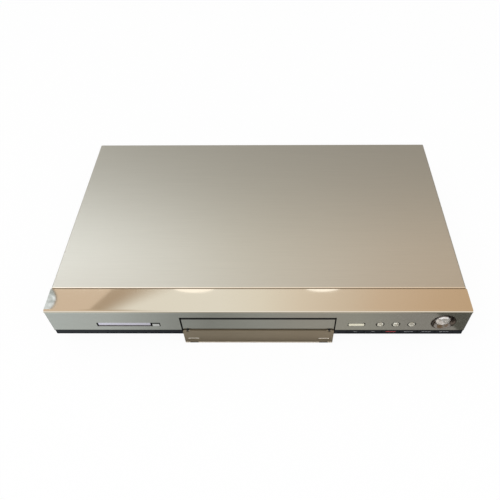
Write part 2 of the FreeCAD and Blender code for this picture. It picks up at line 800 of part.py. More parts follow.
def cardCage():
    """Folded steel cage that guides the card, with spring windows in its roof and legs to the board."""
    half = slotWidth / 2.0 + cageSheet
    low = cardZ - cageTall / 2.0
    high = low + cageTall
    cageBack = cageFront + cageDepth
    shell = box(cardX - half, cardX + half, cageFront, cageBack, low, high)
    shell = shell.cut(box(cardX - half + cageSheet, cardX + half - cageSheet, cageFront - 1, cageBack - 5,
                          low + cageSheet, high - cageSheet))
    for side in (-1, 1):
        for shift in (0.0, 26.0, 52.0):
            x0 = cardX + side * slotWidth / 4.0
            y0 = cageFront + 12.0 + shift
            shell = shell.cut(rounded(x0 - 5, x0 + 5, y0, y0 + 18, high - 1, high + 1, 2.0, (0, 0, 1)))
    legs = [shell]
    for x0 in (cardX - half, cardX + half - cageSheet):
        for y in (boardFront + 3.0, cageBack - 16.0):
            legs.append(box(x0, x0 + cageSheet, y, y + 8, boardTop, low + 1))
    return fuse(legs)


def cardConnector():
    half = cardWidth / 2.0 + 1.0
    y0 = cageFront + cageDepth - connectorDepth
    body = box(cardX - half, cardX + half, y0, y0 + 7.0, cardZ - 3.2, cardZ + 3.2)
    for index in range(contacts):
        x = cardX + (index - (contacts - 1) / 2.0) * contactPitch
        body = body.cut(box(x - 0.4, x + 0.4, y0 - 1, y0 + 4, cardZ - 1.4, cardZ + 1.4))
    return body


def gear(x, y, z, teeth, module, height, bore):
    """Spur gear: each tooth is a trapezoid on the pitch circle, thinned for backlash."""
    pitch = teeth * module / 2.0
    root = pitch - 1.15 * module
    tip = pitch + 0.8 * module
    points = []
    for index in range(teeth):
        middle = 2 * math.pi * index / teeth
        for radius, half in ((root, 0.95 * module), (pitch, 0.62 * module), (tip, 0.26 * module)):
            angle = middle - half / radius
            points.append((radius, angle))
        for radius, half in ((tip, 0.26 * module), (pitch, 0.62 * module), (root, 0.95 * module)):
            angle = middle + half / radius
            points.append((radius, angle))
    outline = [(x + r * math.cos(a), y + r * math.sin(a), z) for r, a in points]
    return prism(outline, (0, 0, height)).cut(rod(x, y, z - 1, bore, height + 2, (0, 0, 1)))


def discTray():
    """Moulded tray: stepped disc pockets, an open slot for the hub and laser, side skirts and a rack."""
    half = trayWidth / 2.0
    y0 = fasciaRecess + fasciaThick
    y1 = y0 + trayLength
    under = trayTop - trayThick
    plate = rounded(-half, half, y0, y1, under, trayTop, 3.0, (0, 0, 1))
    plate = plate.cut(rod(0, discCentreY, trayTop - discPocket, discRadius, 5, (0, 0, 1)))
    step = cone(0, discCentreY, trayTop - discPocket - smallDiscStep, smallDiscRadius, smallDiscRadius + 0.8,
                smallDiscStep + 0.1, (0, 0, 1))
    plate = plate.cut(step)
    plate = plate.cut(rod(0, discCentreY, under - 1, hubSlot, 9, (0, 0, 1)))
    plate = plate.cut(box(-hubSlot, hubSlot, discCentreY, y1 + 1, under - 1, trayTop + 1))
    for side in (-1, 1):
        for y in (discCentreY - fingerShift, discCentreY + fingerShift):
            plate = plate.cut(rod(side * (half - 6.0), y, trayTop - discPocket, fingerRadius, 5, (0, 0, 1)))
    parts = [plate]
    for side in (-1, 1):
        x0 = side * (half - 2.5)
        parts.append(box(x0 - 0.7, x0 + 0.7, y0, y1 - 3, under - 2.4, under + 0.3))
    toothPitch = math.pi * gearModule
    tooth = gearY - 4.5 * toothPitch
    rackLow = gearZ + 0.2
    rackEnd = y1 - 2.0
    parts.append(box(rackX + 1.15, rackX + 2.3, y0 + 2, rackEnd, rackLow, under + 0.2))
    while tooth < rackEnd - toothPitch / 2.0:
        parts.append(prism([(rackX + 1.2, tooth - 1.12, rackLow), (rackX - 0.75, tooth - 0.34, rackLow),
                            (rackX - 0.75, tooth + 0.34, rackLow), (rackX + 1.2, tooth + 1.12, rackLow)],
                           (0, 0, 3.4)))
        tooth += toothPitch
    return fuse(parts)


def trayFascia():
    """Silver strip on the tray's front, clear above the flap's hinge."""
    half = openingWidth / 2.0 - fasciaGap
    y0 = fasciaRecess
    plate = rounded(-half, half, y0, y0 + fasciaThick, fasciaBottom, fasciaTop, 1.0, (0, 1, 0))
    return plate.makeFillet(0.4, edgesAt(plate, y=y0))


def grooved(radius, bore):
    """Half section of a belt wheel: two flanges and the groove between them."""
    return [(bore, 0), (radius + 0.8, 0), (radius, 0.8), (radius, wheelThick - 0.8),
            (radius + 0.8, wheelThick), (bore, wheelThick)]


def motorPulley():
    wheel = spin(grooved(pulleyRadius, motorShaft), motorX, motorY, wheelLow, (0, 0, 1))
    shaft = rod(motorX, motorY, wheelLow - 4.0, motorShaft, wheelThick + 4.4, (0, 0, 1))
    return wheel.fuse(shaft)


def pulleyGear():
    """Belt wheel below and the spur gear that drives the tray's rack above, on one post."""
    bore = postRadius + runFit
    wheel = spin(grooved(wheelRadius, bore), gearX, gearY, wheelLow, (0, 0, 1))
    neck = tube(gearX, gearY, wheelLow + wheelThick, 4.0, bore, gearZ - wheelLow - wheelThick, (0, 0, 1))
    spur = gear(gearX, gearY, gearZ, gearTeeth, gearModule, 3.8, bore)
    return fuse([wheel, neck, spur])


def driveBelt():
    """Round belt round the two grooves, drawn as an outer loop less an inner one."""
    gap = 0.35
    loops = []
    for grow in (gap + 1.1, gap):
        first = pulleyRadius + grow
        second = wheelRadius + grow
        dx = gearX - motorX
        dy = gearY - motorY
        span = math.hypot(dx, dy)
        lead = math.atan2(dy, dx)
        lean = math.acos((first - second) / span)
        ring = []
        for x, y, radius in ((motorX, motorY, first), (gearX, gearY, second)):
            for turn in (lead + lean, lead - lean):
                ring.append((x + radius * math.cos(turn), y + radius * math.sin(turn), beltZ - 0.6))
        quad = prism([ring[0], ring[2], ring[3], ring[1]], (0, 0, 1.2))
        loops.append(fuse([quad, rod(motorX, motorY, beltZ - 0.6, first, 1.2, (0, 0, 1)),
                           rod(gearX, gearY, beltZ - 0.6, second, 1.2, (0, 0, 1))]))
    return loops[0].cut(loops[1])


def loadingMotor():
    top = wheelLow - 0.4
    base = frameBottom + frameWall
    body = rod(motorX, motorY, base, motorRadius, top - 2.2 - base, (0, 0, 1))
    boss = tube(motorX, motorY, top - 2.3, 3.0, motorShaft + runFit, 2.3, (0, 0, 1))
    body = body.cut(rod(motorX, motorY, top - 5.5, motorShaft + runFit, 6, (0, 0, 1)))
    return fuse([body, boss])


def driveFrame():
    """Loader frame: floor, side walls with tray runners, rear wall, posts and traverse bearings."""
    half = frameWidth / 2.0
    back = frameFront + frameDepth
    well = rounded(-50, 50, discCentreY - 24, pivotY - 6, frameBottom - 1, frameBottom + 5, 6.0, (0, 0, 1))
    parts = [box(-half, half, frameFront, back, frameBottom, frameBottom + frameWall).cut(well)]
    under = trayTop - trayThick
    for side in (-1, 1):
        wallX = side * (half - frameWall / 2.0)
        parts.append(box(wallX - frameWall / 2.0, wallX + frameWall / 2.0, frameFront, back,
                         frameBottom, bridgeZ))
        ledge = half - frameWall - trayWidth / 2.0
        middle = side * (trayWidth / 2.0 + (ledge - 1.3) / 2.0)
        reach = (ledge + 1.3) / 2.0
        parts.append(box(middle - reach, middle + reach, frameFront, back - 12, under - 2.3, under - 0.3))
        middle = side * (trayWidth / 2.0 + (ledge - 2.0) / 2.0)
        reach = (ledge + 2.0) / 2.0
        for y in (frameFront + 2.0, frameFront + 60.0, frameFront + 130.0):
            parts.append(box(middle - reach, middle + reach, y, y + 12, trayTop + 0.4, trayTop + 2.0))
    parts.append(box(-half, half, back - frameWall, back, frameBottom, bridgeZ))
    parts.append(box(-half, half, frameFront, frameFront + frameWall, frameBottom, frameBottom + 8.0))
    parts.append(rod(gearX, gearY, frameBottom, postRadius, gearZ + 4.6 - frameBottom, (0, 0, 1)))
    parts.append(rod(gearX, gearY, frameBottom, 3.6, wheelLow - 0.3 - frameBottom, (0, 0, 1)))
    for side in (-1, 1):
        x0 = side * (traverseHalf + 1.7)
        parts.append(box(x0 - 1.2, x0 + 1.2, pivotY - 4, pivotY + 4, frameBottom, pivotZ + 3.5))
    frame = fuse(parts)
    bearing = rod(-traverseHalf - 5, pivotY, pivotZ, pivotRadius + runFit, 2 * traverseHalf + 10, (1, 0, 0))
    posts = [frame.cut(bearing)]
    for x in (-half + 12.0, half - 12.0):
        for y in (frameFront + 19.0, back - 10.0):
            posts.append(rod(x, y, floorTop, 4.0, frameBottom - floorTop, (0, 0, 1)))
    return fuse(posts)


def traverseBase():
    """Tilting sled deck: frame round the laser's window, motor seat, rod clips and pivot pins."""
    deck = rounded(-traverseHalf, traverseHalf, traverseFront, pivotY - 3.0,
                   traverseTop - 5.0, traverseTop - 3.0, 5.0, (0, 0, 1))
    window = rounded(-24, 24, discCentreY + 17, pivotY - 16, traverseTop - 9, traverseTop + 9, 3.0, (0, 0, 1))
    parts = [deck.cut(window)]
    for side in (-1, 1):
        middle = side * (traverseHalf - 1.0)
        parts.append(box(middle - 1.0, middle + 1.0, traverseFront + 6, pivotY + 3.0,
                         traverseTop - 7.5, traverseTop - 2.0))
        parts.append(rod(middle, pivotY, pivotZ, pivotRadius, 4.4, (side, 0, 0)))
    for x in (-rodX, rodX):
        for y in (discCentreY + 13.0, pivotY - 15.0):
            parts.append(box(x - 3, x + 3, y, y + 5, traverseTop - 3.2, rodZ + 2.6))
    base = fuse(parts)
    for x in (-rodX, rodX):
        base = base.cut(rod(x, discCentreY + 12, rodZ, rodRadius, 90, (0, 1, 0)))
    base = base.cut(rod(screwX, discCentreY + 8, screwZ, screwRadius + 0.35, 90, (0, 1, 0)))
    return base.cut(rod(0, discCentreY, traverseTop - 9, 6.0, 20, (0, 0, 1)))


def guideRods():
    shapes = []
    start = discCentreY + 13.0
    for x in (-rodX, rodX):
        shapes.append(rod(x, start, rodZ, rodRadius, pivotY - 10.0 - start, (0, 1, 0)))
    return shapes


def spindleMotor():
    """Flat disc motor under the turntable, with a bearing neck through the deck."""
    z0 = traverseTop - 3.0
    bore = spindleShaft + runFit
    body = spin([(bore, 0), (11.5, 0), (11.5, 4.0), (10.8, 4.8), (bore, 4.8)], 0, discCentreY, z0, (0, 0, 1))
    neck = tube(0, discCentreY, z0 - 4.0, 5.9, bore, 4.2, (0, 0, 1))
    return fuse([body, neck])


def turntable():
    """Disc table with a rubber-faced rim, centring cone and the motor's shaft."""
    table = spin([(0, -2.2), (hubRadius, -2.2), (hubRadius, 0.0), (9.5, 0.0), (9.5, -0.7), (7.5, -0.7),
                  (7.4, 0.9), (5.2, 2.4), (0, 2.4)], 0, discCentreY, hubTop, (0, 0, 1))
    stemLow = traverseTop - 5.5
    collarLow = traverseTop + 2.3
    stem = rod(0, discCentreY, stemLow, spindleShaft, hubTop - 2.0 - stemLow, (0, 0, 1))
    collar = rod(0, discCentreY, collarLow, 4.0, hubTop - 2.0 - collarLow, (0, 0, 1))
    return fuse([table, stem, collar])


def laserSled():
    """Optical block on the rods, with the lens window on top and a nut half on the lead screw."""
    y0 = discCentreY + 21.0
    parts = [rounded(-20, 20, y0, y0 + 24, traverseTop - 6.0, traverseTop + 5.0, 2.0, (0, 0, 1))]
    wing = rodX + 3.2 - 18.0
    for side in (-1, 1):
        middle = side * (18.0 + wing / 2.0)
        parts.append(box(middle - wing / 2.0, middle + wing / 2.0, y0 + 3, y0 + 21, rodZ - 2.6, rodZ + 2.8))
    parts.append(spin([(0, 0), (5.2, 0), (5.2, 2.2), (3.6, 2.6), (3.6, 2.2), (2.4, 2.2), (1.6, 2.6),
                       (0, 2.8)], 0, y0 + 7.5, traverseTop + 4.9, (0, 0, 1)))
    parts.append(box(rodX + 2, screwX - screwRadius - 0.35, y0 + 8, y0 + 14, screwZ - 1.2, screwZ + 1.2))
    sled = fuse(parts)
    for x in (-rodX, rodX):
        sled = sled.cut(rod(x, y0 - 1, rodZ, rodRadius + runFit, 40, (0, 1, 0)))
    return sled


def leadScrew():
    start = discCentreY + 10.0
    return rod(screwX, start, screwZ, screwRadius, pivotY - 12.0 - start, (0, 1, 0))


def sledMotor():
    body = rounded(screwX - 5, screwX + 5, discCentreY - 14, discCentreY + 8.5,
                   screwZ - 2.4, screwZ + 5.0, 2.0, (0, 1, 0))
    return body.cut(rod(screwX, discCentreY + 4, screwZ, screwRadius + runFit, 6, (0, 1, 0)))


def clampBridge():
    """Pressed bridge over the tray that holds the clamper loosely in its ring."""
    half = frameWidth / 2.0
    top = bridgeZ + bridgeThick
    arms = [rounded(-half + 2.4, half - 2.4, discCentreY - 22, discCentreY + 22,
                    bridgeZ, top, 8.0, (0, 0, 1))]
    for side in (-1, 1):
        middle = side * (half - 6.0)
        arms.append(box(middle - 6.0, middle + 6.0, discCentreY - 16, discCentreY + 16, bridgeZ, top))
    bridge = fuse(arms)
    bridge = bridge.cut(rod(0, discCentreY, bridgeZ - 1, 10.5, 4, (0, 0, 1)))
    for middle in (-38.0, 38.0):
        bridge = bridge.cut(rounded(middle - 12, middle + 12, discCentreY - 10, discCentreY + 10,
                                    bridgeZ - 1, bridgeZ + 3, 3.0, (0, 0, 1)))
    return bridge


def discClamper():
    """Spool through the bridge's ring: a pressing flange below and a holding lip above."""
    z0 = hubTop + 3.2
    lip = bridgeZ + bridgeThick + 0.3 - z0
    return spin([(3.0, 0), (13.5, 0), (14.0, 0.6), (14.0, 2.2), (9.8, 2.6), (9.8, lip), (13.0, lip),
                 (13.0, lip + 1.4), (4.0, lip + 1.4), (3.0, lip + 0.5)], 0, discCentreY, z0, (0, 0, 1))


def standoffs(spots):
    posts = []
    for x, y in spots:
        posts.append(rod(x, y, floorTop, 3.0, boardBottom - floorTop, (0, 0, 1)))
    return posts


def chip(x, y, size, tall):
    half = size / 2.0
    return rounded(x - half, x + half, y - half, y + half, boardTop, boardTop + tall, 0.8, (0, 0, 1))


def can(x, y, radius, tall):
    """A capacitor can with a grooved shoulder, standing on its board."""
    return spin([(0, 0), (radius, 0), (radius, 1.4), (radius - 0.3, 1.8), (radius, 2.2), (radius, tall - 0.5),
                 (radius - 0.6, tall), (0, tall)], x, y, boardTop, (0, 0, 1))


def mainBoard():
    """Main circuit board on standoffs, with its chips, connectors and small capacitors."""
    wide = boardRight - boardLeft
    deep = tunerFront - boardFront
    parts = [box(boardLeft, boardRight, boardFront, boardBack, boardBottom, boardTop)]
    parts.append(box(boardRight - 1, tailRight, tailFront, boardBack, boardBottom, boardTop))
    parts.extend(standoffs([(boardLeft + 6, boardFront + 5), (boardRight - 6, boardFront + 5),
                            (boardLeft + 6, boardBack - 10), (boardRight - 6, boardBack - 100),
                            (tailRight - 10, boardBack - 6.5)]))
    parts.append(chip(mainChipX, mainChipY, mainChipSize, mainChipTall))
    for across, along, size, tall in ((0.67, 0.58, 20, 1.8), (0.87, 0.88, 12, 1.6),
                                      (0.12, 0.92, 10, 1.4), (0.26, 0.92, 10, 1.4)):
        parts.append(chip(boardLeft + across * wide, boardFront + along * deep, size, tall))
    parts.append(chip(tailRight - 15, (tailFront + boardBack) / 2.0, 12, 1.6))
    for index in range(6):
        parts.append(can(boardRight - 47.0 + index * 9.0, blockFront - 8.0, 3.2, 8.0))
    for x in (-40.0, -10.0, 20.0):
        parts.append(box(x - 9, x + 9, tailFront + 2, tailFront + 7, boardTop, boardTop + 5.5))
    return fuse(parts)


def finBlock(x0, x1, y0, y1, z0, z1, count, base):
    """An extruded heat sink: a base with upright fins."""
    parts = [box(x0, x1, y0, y1, z0, z0 + base)]
    thick = 1.0
    step = (x1 - x0 - thick) / (count - 1)
    for index in range(count):
        parts.append(box(x0 + index * step, x0 + index * step + thick, y0, y1, z0, z1))
    return fuse(parts)


def powerBoard():
    """Supply board with its filter coil, fuse, rectifier and terminal block."""
    parts = [box(powerLeft, powerRight, powerFront, powerBack, boardBottom, boardTop)]
    parts.extend(standoffs([(powerLeft + 5, powerFront + 6), (powerRight - 5, powerFront + 6),
                            (powerLeft + 5, powerBack - 6.5), (powerRight - 5, powerBack - 6.5)]))
    parts.append(rounded(powerRight - 57, powerRight - 35, powerBack - 36.5, powerBack - 12.5,
                         boardTop, boardTop + 18, 3.0, (0, 0, 1)))
    parts.append(rod(powerRight - 23, powerBack - 40.5, boardTop + 4.0, 3.0, 22, (0, 1, 0)))
    parts.append(box(powerRight - 27, powerRight - 19, powerBack - 40.5, powerBack - 18.5,
                     boardTop, boardTop + 4.0))
    parts.append(box(powerLeft + 17, powerLeft + 51, powerBack - 14.5, powerBack - 5.5,
                     boardTop, boardTop + 9.0))
    return fuse(parts)


def transformer():
    """Switching transformer: E core over a wound, taped bobbin."""
    low = boardTop + 3.0
    high = boardTop + 31.0
    core = box(coilX - 18, coilX + 18, coilY - 6, coilY + 6, low, high)
    core = core.cut(box(coilX - 12, coilX + 12, coilY - 7, coilY + 7, low + 5, high - 5))
    parts = [core, box(coilX - 4, coilX + 4, coilY - 6, coilY + 6, low, high)]
    parts.append(rounded(coilX - 11, coilX + 11, coilY - 14, coilY + 14, low + 6, high - 6, 6.0, (0, 0, 1)))
    parts.append(rounded(coilX - 13, coilX + 13, coilY - 17, coilY + 17, boardTop, low, 2.0, (0, 0, 1)))
    parts.append(box(coilX - 9, coilX + 9, coilY - 12, coilY + 12, low - 1, low + 7))
    return fuse(parts)


def powerCans():
    shapes = [can(powerRight - 21, powerBack - 68.5, 11.0, 30.0)]
    for across, along, radius, tall in ((21, 30, 6.3, 20), (37, 30, 6.3, 20), (53, 30, 5, 16),
                                        (21, 52, 5, 16), (35, 52, 5, 16)):
        shapes.append(can(powerLeft + across, powerFront + along, radius, tall))
    return shapes


def tunerCan():
    """Screened tuner with its two aerial sockets through the rear panel."""
    half = tunerWidth / 2.0
    parts = [rounded(tunerX - half, tunerX + half, tunerFront, boardBack,
                     boardTop, boardTop + tunerTall, 0.6, (0, 0, 1))]
    start = boardBack - 1.0
    collar = panelBack + 0.8 - start
    length = caseDepth + socketProud - 0.4 - start
    socket = [(1.2, 0), (aerialCollar, 0), (aerialCollar, collar), (aerialRadius, collar),
              (aerialRadius, length), (1.2, length)]
    for rise in aerialHeights:
        parts.append(spin(socket, tunerX, start, boardTop + rise, (0, 1, 0)))
    return fuse(parts)


def avSockets():
    """Moulded socket block: round pin jacks in rows, with a bank of small round data jacks."""
    parts = [box(blockLeft, blockLeft + blockWidth, blockFront, panelBack - 0.4,
                 boardTop, boardTop + blockTall)]
    collar = panelBack - 1.2
    rows = [boardTop + jackRise + row * jackRowPitch for row in range(jackRows)]
    holes = []
    for column in range(jackColumns):
        x = blockLeft + jackMargin + column * jackPitch
        for z in rows:
            parts.append(rod(x, collar, z, jackRadius, caseDepth + socketProud - collar, (0, 1, 0)))
            holes.append(rod(x, blockFront + 14, z, jackBore, 30, (0, 1, 0)))
    for z in rows:
        holes.append(tube(dataJackX, blockFront + 14, z, dataJackRadius, 1.9, 30, (0, 1, 0)))
        holes.append(rod(dataJackX, panelBack - 5.0, z, 2.0, 10, (0, 1, 0)))
    block = fuse(parts)
    for hole in holes:
        block = block.cut(hole)
    return block


def mainsInlet():
    """Two-pole mains inlet let into the rear panel."""
    front = caseDepth - 22.0
    back = panelBack + 1.8
    shell = rounded(inletX - 12, inletX + 12, front, back, inletZ - 8, inletZ + 8, 3.0, (0, 1, 0))
    lip = rounded(inletX - 16, inletX + 16, panelBack, back, inletZ - 11, inletZ + 11, 3.0, (0, 1, 0))
    shell = fuse([shell, lip])
    shell = shell.cut(rounded(inletX - 9, inletX + 9, front + 3, back + 1, inletZ - 4.5, inletZ + 4.5,
                              4.4, (0, 1, 0)))
    pins = [rod(inletX + shift, front + 2, inletZ, 1.2, 16, (0, 1, 0)) for shift in (-4.2, 4.2)]
    return fuse([shell] + pins)


def rearPanel():
    """Rear sheet with openings for the sockets, the fan grille, vents and screw holes."""
    half = halfCase - sheet - sheetPlay
    front = panelFront - 1
    back = panelBack + 1
    panel = rounded(-half, half, panelFront, panelBack, feetHeight, caseHeight - sheet - 0.1,
                    1.4, (0, 1, 0))
    cuts = []
    for rise in aerialHeights:
        cuts.append(rod(tunerX, front, boardTop + rise, aerialCollar + 0.2, 4, (0, 1, 0)))
    cuts.append(box(blockLeft - 0.2, blockLeft + blockWidth + 0.2, front, back,
                    boardTop - 0.2, boardTop + blockTall + 0.2))
    cuts.append(rounded(inletX - 12.2, inletX + 12.2, front, back, inletZ - 8.2, inletZ + 8.2,
                        3.0, (0, 1, 0)))
    for ring in (7.5, 12.0, 16.5):
        slot = tube(fanX, front, fanZ, ring + 1.6, ring - 1.6, 4, (0, 1, 0))
        for angle in (45, 135):
            bar = box(-30, 30, front - 1, back + 1, -1.3, 1.3)
            bar.rotate(vec(0, 0, 0), vec(0, 1, 0), angle)
            bar.translate(vec(fanX, 0, fanZ))
            slot = slot.cut(bar)
        cuts.append(slot)
    for index in range(ventCount):
        x = ventLeft + index * ventPitch
        cuts.append(rounded(x, x + ventWidth, front, back, ventLow, ventHigh, 1.6, (0, 1, 0)))
    for x in rearScrewX:
        cuts.append(rod(x, front, rearScrewZ, screwHole, 4, (0, 1, 0)))
    for x in coverScrewX:
        cuts.append(rod(x, front, coverScrewZ, screwHole, 4, (0, 1, 0)))
    for cut in cuts:
        panel = panel.cut(cut)
    return panel


def fanFrame():
    """Square fan housing with its bore, hub plate, three struts and two legs to the floor."""
    half = fanSize / 2.0
    front = fanBack - fanThick
    frame = rounded(fanX - half, fanX + half, front, fanBack, fanZ - half, fanZ + half, 3.0, (0, 1, 0))
    parts = [frame.cut(rod(fanX, front - 1, fanZ, half - 1.2, fanThick + 2, (0, 1, 0)))]
    for index in range(3):
        arm = box(0, half - 0.8, fanBack - 1.4, fanBack, -1.2, 1.2)
        arm.rotate(vec(0, 0, 0), vec(0, 1, 0), 120 * index + 30)
        arm.translate(vec(fanX, 0, fanZ))
        parts.append(arm)
    parts.append(rod(fanX, fanBack - 1.4, fanZ, fanHub, 1.4, (0, 1, 0)))
    parts.append(rod(fanX, front + 3.0, fanZ, fanShaft, fanThick - 3.4, (0, 1, 0)))
    for x in (fanX - 16.0, fanX + 16.0):
        parts.append(box(x - 3, x + 3, front, fanBack, floorTop, fanZ - half + 0.5))
    return fuse(parts)


def fanRotor():
    """Hub with seven twisted blades."""
    back = fanBack - 1.8
    front = fanBack - fanThick + 0.6
    hub = rod(fanX, front, fanZ, fanHub, back - front, (0, 1, 0))
    parts = [hub.cut(rod(fanX, front + 1.2, fanZ, fanShaft + runFit, back - front, (0, 1, 0)))]
    for index in range(fanBlades):
        blade = prism([(fanHub - 0.5, front + 0.6, -2.2), (fanHub - 0.5, back - 0.4, 2.2),
                       (fanHub - 0.5, back - 0.4, 3.4), (fanHub - 0.5, front + 0.6, -1.0)], (9.8, 0, 0))
        blade.rotate(vec(0, 0, 0), vec(0, 1, 0), 360.0 / fanBlades * index)
        blade.translate(vec(fanX, 0, fanZ))
        parts.append(blade)
    return fuse(parts)


export("top_cover", [topCover()])
export("case_screws", caseScrews())
export("base_chassis", [baseChassis()])
export("feet", feet())
export("mirror_band", [mirrorBand()])
export("front_panel", [frontPanel()])
export("strip_left", [stripPiece(-1)])
export("strip_right", [stripRight()])
export("display_window", [displayWindow()])
export("display_tube", displayTube())
export("front_flap", [frontFlap()])
export("flap_pins", flapPins())
export("flap_roller_left", [flapRoller(-1)])
export("flap_roller_right", [flapRoller(1)])
export("card_door", [cardDoor()])
export("card_eject_button", [ejectButton()])
export("card_cage", [cardCage()])
export("card_connector", [cardConnector()])
export("open_button", [openButton()])
for place, word in enumerate(("left", "middle", "right")):
    export("round_button_" + word, [roundButton(place)])
export("jog_dish", [jogDish()])
export("jog_knob", [jogKnob()])
export("jog_encoder", [jogEncoder()])
for place in range(keyCount):
    export("strip_key_" + str(place + 1), [key(place)])
export("front_board", [frontBoard()])
export("disc_tray", [discTray()])
export("tray_fascia", [trayFascia()])
export("drive_frame", [driveFrame()])
export("clamp_bridge", [clampBridge()])
export("disc_clamper", [discClamper()])
export("traverse_base", [traverseBase()])
export("guide_rods", guideRods())
export("spindle_motor", [spindleMotor()])
export("turntable", [turntable()])
export("laser_sled", [laserSled()])
export("lead_screw", [leadScrew()])
export("sled_motor", [sledMotor()])
export("loading_motor", [loadingMotor()])
export("motor_pulley", [motorPulley()])
export("drive_belt", [driveBelt()])
export("pulley_gear", [pulleyGear()])
export("main_board", [mainBoard()])
half = mainChipSize / 2.0
finLow = boardTop + mainChipTall
export("chip_heat_sink", [finBlock(mainChipX - half, mainChipX + half, mainChipY - half, mainChipY + half,
                                   finLow, finLow + chipFinTall, 7, 2.0)])
export("power_board", [powerBoard()])
export("transformer", [transformer()])
export("power_heat_sink", [finBlock(finLeft, finRight, finFront, finBack, boardTop, boardTop + 28.4, 6, 2.5)])
export("power_capacitors", powerCans())
export("tuner_can", [tunerCan()])
export("av_sockets", [avSockets()])
export("mains_inlet", [mainsInlet()])
export("rear_panel", [rearPanel()])
export("fan_frame", [fanFrame()])
export("fan_rotor", [fanRotor()])
print(len(written), "nodes")
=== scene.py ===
import json
import math
import bmesh
import bpy
import numpy as np
from mathutils import Matrix, Vector


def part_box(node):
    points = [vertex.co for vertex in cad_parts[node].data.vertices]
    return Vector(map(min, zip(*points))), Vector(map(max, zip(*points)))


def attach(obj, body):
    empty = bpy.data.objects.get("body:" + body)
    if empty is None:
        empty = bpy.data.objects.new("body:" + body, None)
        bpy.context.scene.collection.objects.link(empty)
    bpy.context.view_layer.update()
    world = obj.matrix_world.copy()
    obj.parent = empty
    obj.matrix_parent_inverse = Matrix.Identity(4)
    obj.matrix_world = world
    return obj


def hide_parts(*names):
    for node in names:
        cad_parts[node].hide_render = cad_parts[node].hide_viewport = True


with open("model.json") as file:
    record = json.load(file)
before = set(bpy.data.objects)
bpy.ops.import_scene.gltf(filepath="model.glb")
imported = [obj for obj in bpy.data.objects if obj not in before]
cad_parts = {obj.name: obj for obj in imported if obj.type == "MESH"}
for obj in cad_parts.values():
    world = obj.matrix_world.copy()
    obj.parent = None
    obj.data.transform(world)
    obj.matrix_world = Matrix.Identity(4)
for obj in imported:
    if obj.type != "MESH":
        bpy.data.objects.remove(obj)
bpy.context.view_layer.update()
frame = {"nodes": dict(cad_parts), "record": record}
nodes = frame["nodes"]
print("stage 1: frame loaded,", len(nodes), "nodes")

# places shared by several pieces, all read from the frame
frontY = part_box("front_panel")[0].y
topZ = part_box("mirror_band")[1].z
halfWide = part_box("front_panel")[1].x


# camera, fitted to the photograph's outline
cameraSet = dict(place=(0.01747, frontY - 0.28392, topZ + 0.4273), pitch=49.53, yaw=-0.844, roll=-0.681,
                 focalPixels=510.9, centrePixelX=270.0, photoPixels=500.0, sensor=36.0)


def buildCamera(c):
    pitch, yaw, roll = (math.radians(c[k]) for k in ("pitch", "yaw", "roll"))
    ahead = Vector((math.sin(yaw) * math.cos(pitch), math.cos(yaw) * math.cos(pitch), -math.sin(pitch)))
    right = Vector((math.cos(yaw), -math.sin(yaw), 0))
    up = right.cross(ahead)
    right2 = right * math.cos(roll) + up * math.sin(roll)
    up2 = up * math.cos(roll) - right * math.sin(roll)
    data = bpy.data.cameras.new("viewCamera")
    data.sensor_width = c["sensor"]
    data.lens = c["sensor"] * c["focalPixels"] / c["photoPixels"]
    data.shift_x = (c["photoPixels"] / 2 - c["centrePixelX"]) / c["photoPixels"]
    data.clip_start = 0.01
    camera = bpy.data.objects.new("viewCamera", data)
    turn = Matrix((right2, up2, -ahead)).transposed().to_4x4()
    camera.matrix_world = Matrix.Translation(c["place"]) @ turn
    bpy.context.scene.collection.objects.link(camera)
    bpy.context.scene.camera = camera


buildCamera(cameraSet)
bpy.context.scene.view_settings.view_transform = "Standard"
print("stage 2: camera placed")


# small node helpers
# turns 0 to 255 screen values into the linear colour a shader takes
def srgb(r, g, b):
    out = []
    for v in (r, g, b):
        v = v / 255
        out.append(v / 12.92 if v <= 0.04045 else ((v + 0.055) / 1.055) ** 2.4)
    return (*out, 1.0)


def addNode(tree, kind, values=None, **settings):
    node = tree.nodes.new(kind)
    for name, value in settings.items():
        setattr(node, name, value)
    for name, value in (values or {}).items():
        node.inputs[name].default_value = value
    return node


def wire(tree, fromSocket, toSocket):
    tree.links.new(fromSocket, toSocket)


# a node that evaluates a * first + b, clamped to 0 and 1 when asked
def line(tree, socket, a, b, clamp=False):
    node = addNode(tree, "ShaderNodeMath", operation="MULTIPLY_ADD", use_clamp=clamp)
    wire(tree, socket, node.inputs[0])
    node.inputs[1].default_value = a
    node.inputs[2].default_value = b
    return node.outputs[0]


def combine(tree, kind, first, second, clamp=False):
    node = addNode(tree, "ShaderNodeMath", operation=kind, use_clamp=clamp)
    for socket, value in zip(node.inputs, (first, second)):
        if isinstance(value, (int, float)):
            socket.default_value = value
        else:
            wire(tree, value, socket)
    return node.outputs[0]


# colour stops along a 0 to 1 value: [(place, (r, g, b)), ...]
def ramp(tree, socket, stops, mode="EASE"):
    node = addNode(tree, "ShaderNodeValToRGB")
    node.color_ramp.interpolation = mode
    elements = node.color_ramp.elements
    while len(elements) < len(stops):
        elements.new(0.5)
    for element, (place, colour) in zip(elements, stops):
        element.position = place
        element.color = (*colour, 1)
    wire(tree, socket, node.inputs["Fac"])
    return node.outputs["Color"]


def mixColour(tree, factor, first, second):
    node = addNode(tree, "ShaderNodeMix", data_type="RGBA")
    wire(tree, factor, node.inputs["Factor"])
    for key, value in (("A", first), ("B", second)):
        if isinstance(value, tuple):
            node.inputs[key].default_value = (*value, 1)
        else:
            wire(tree, value, node.inputs[key])
    return node.outputs["Result"]


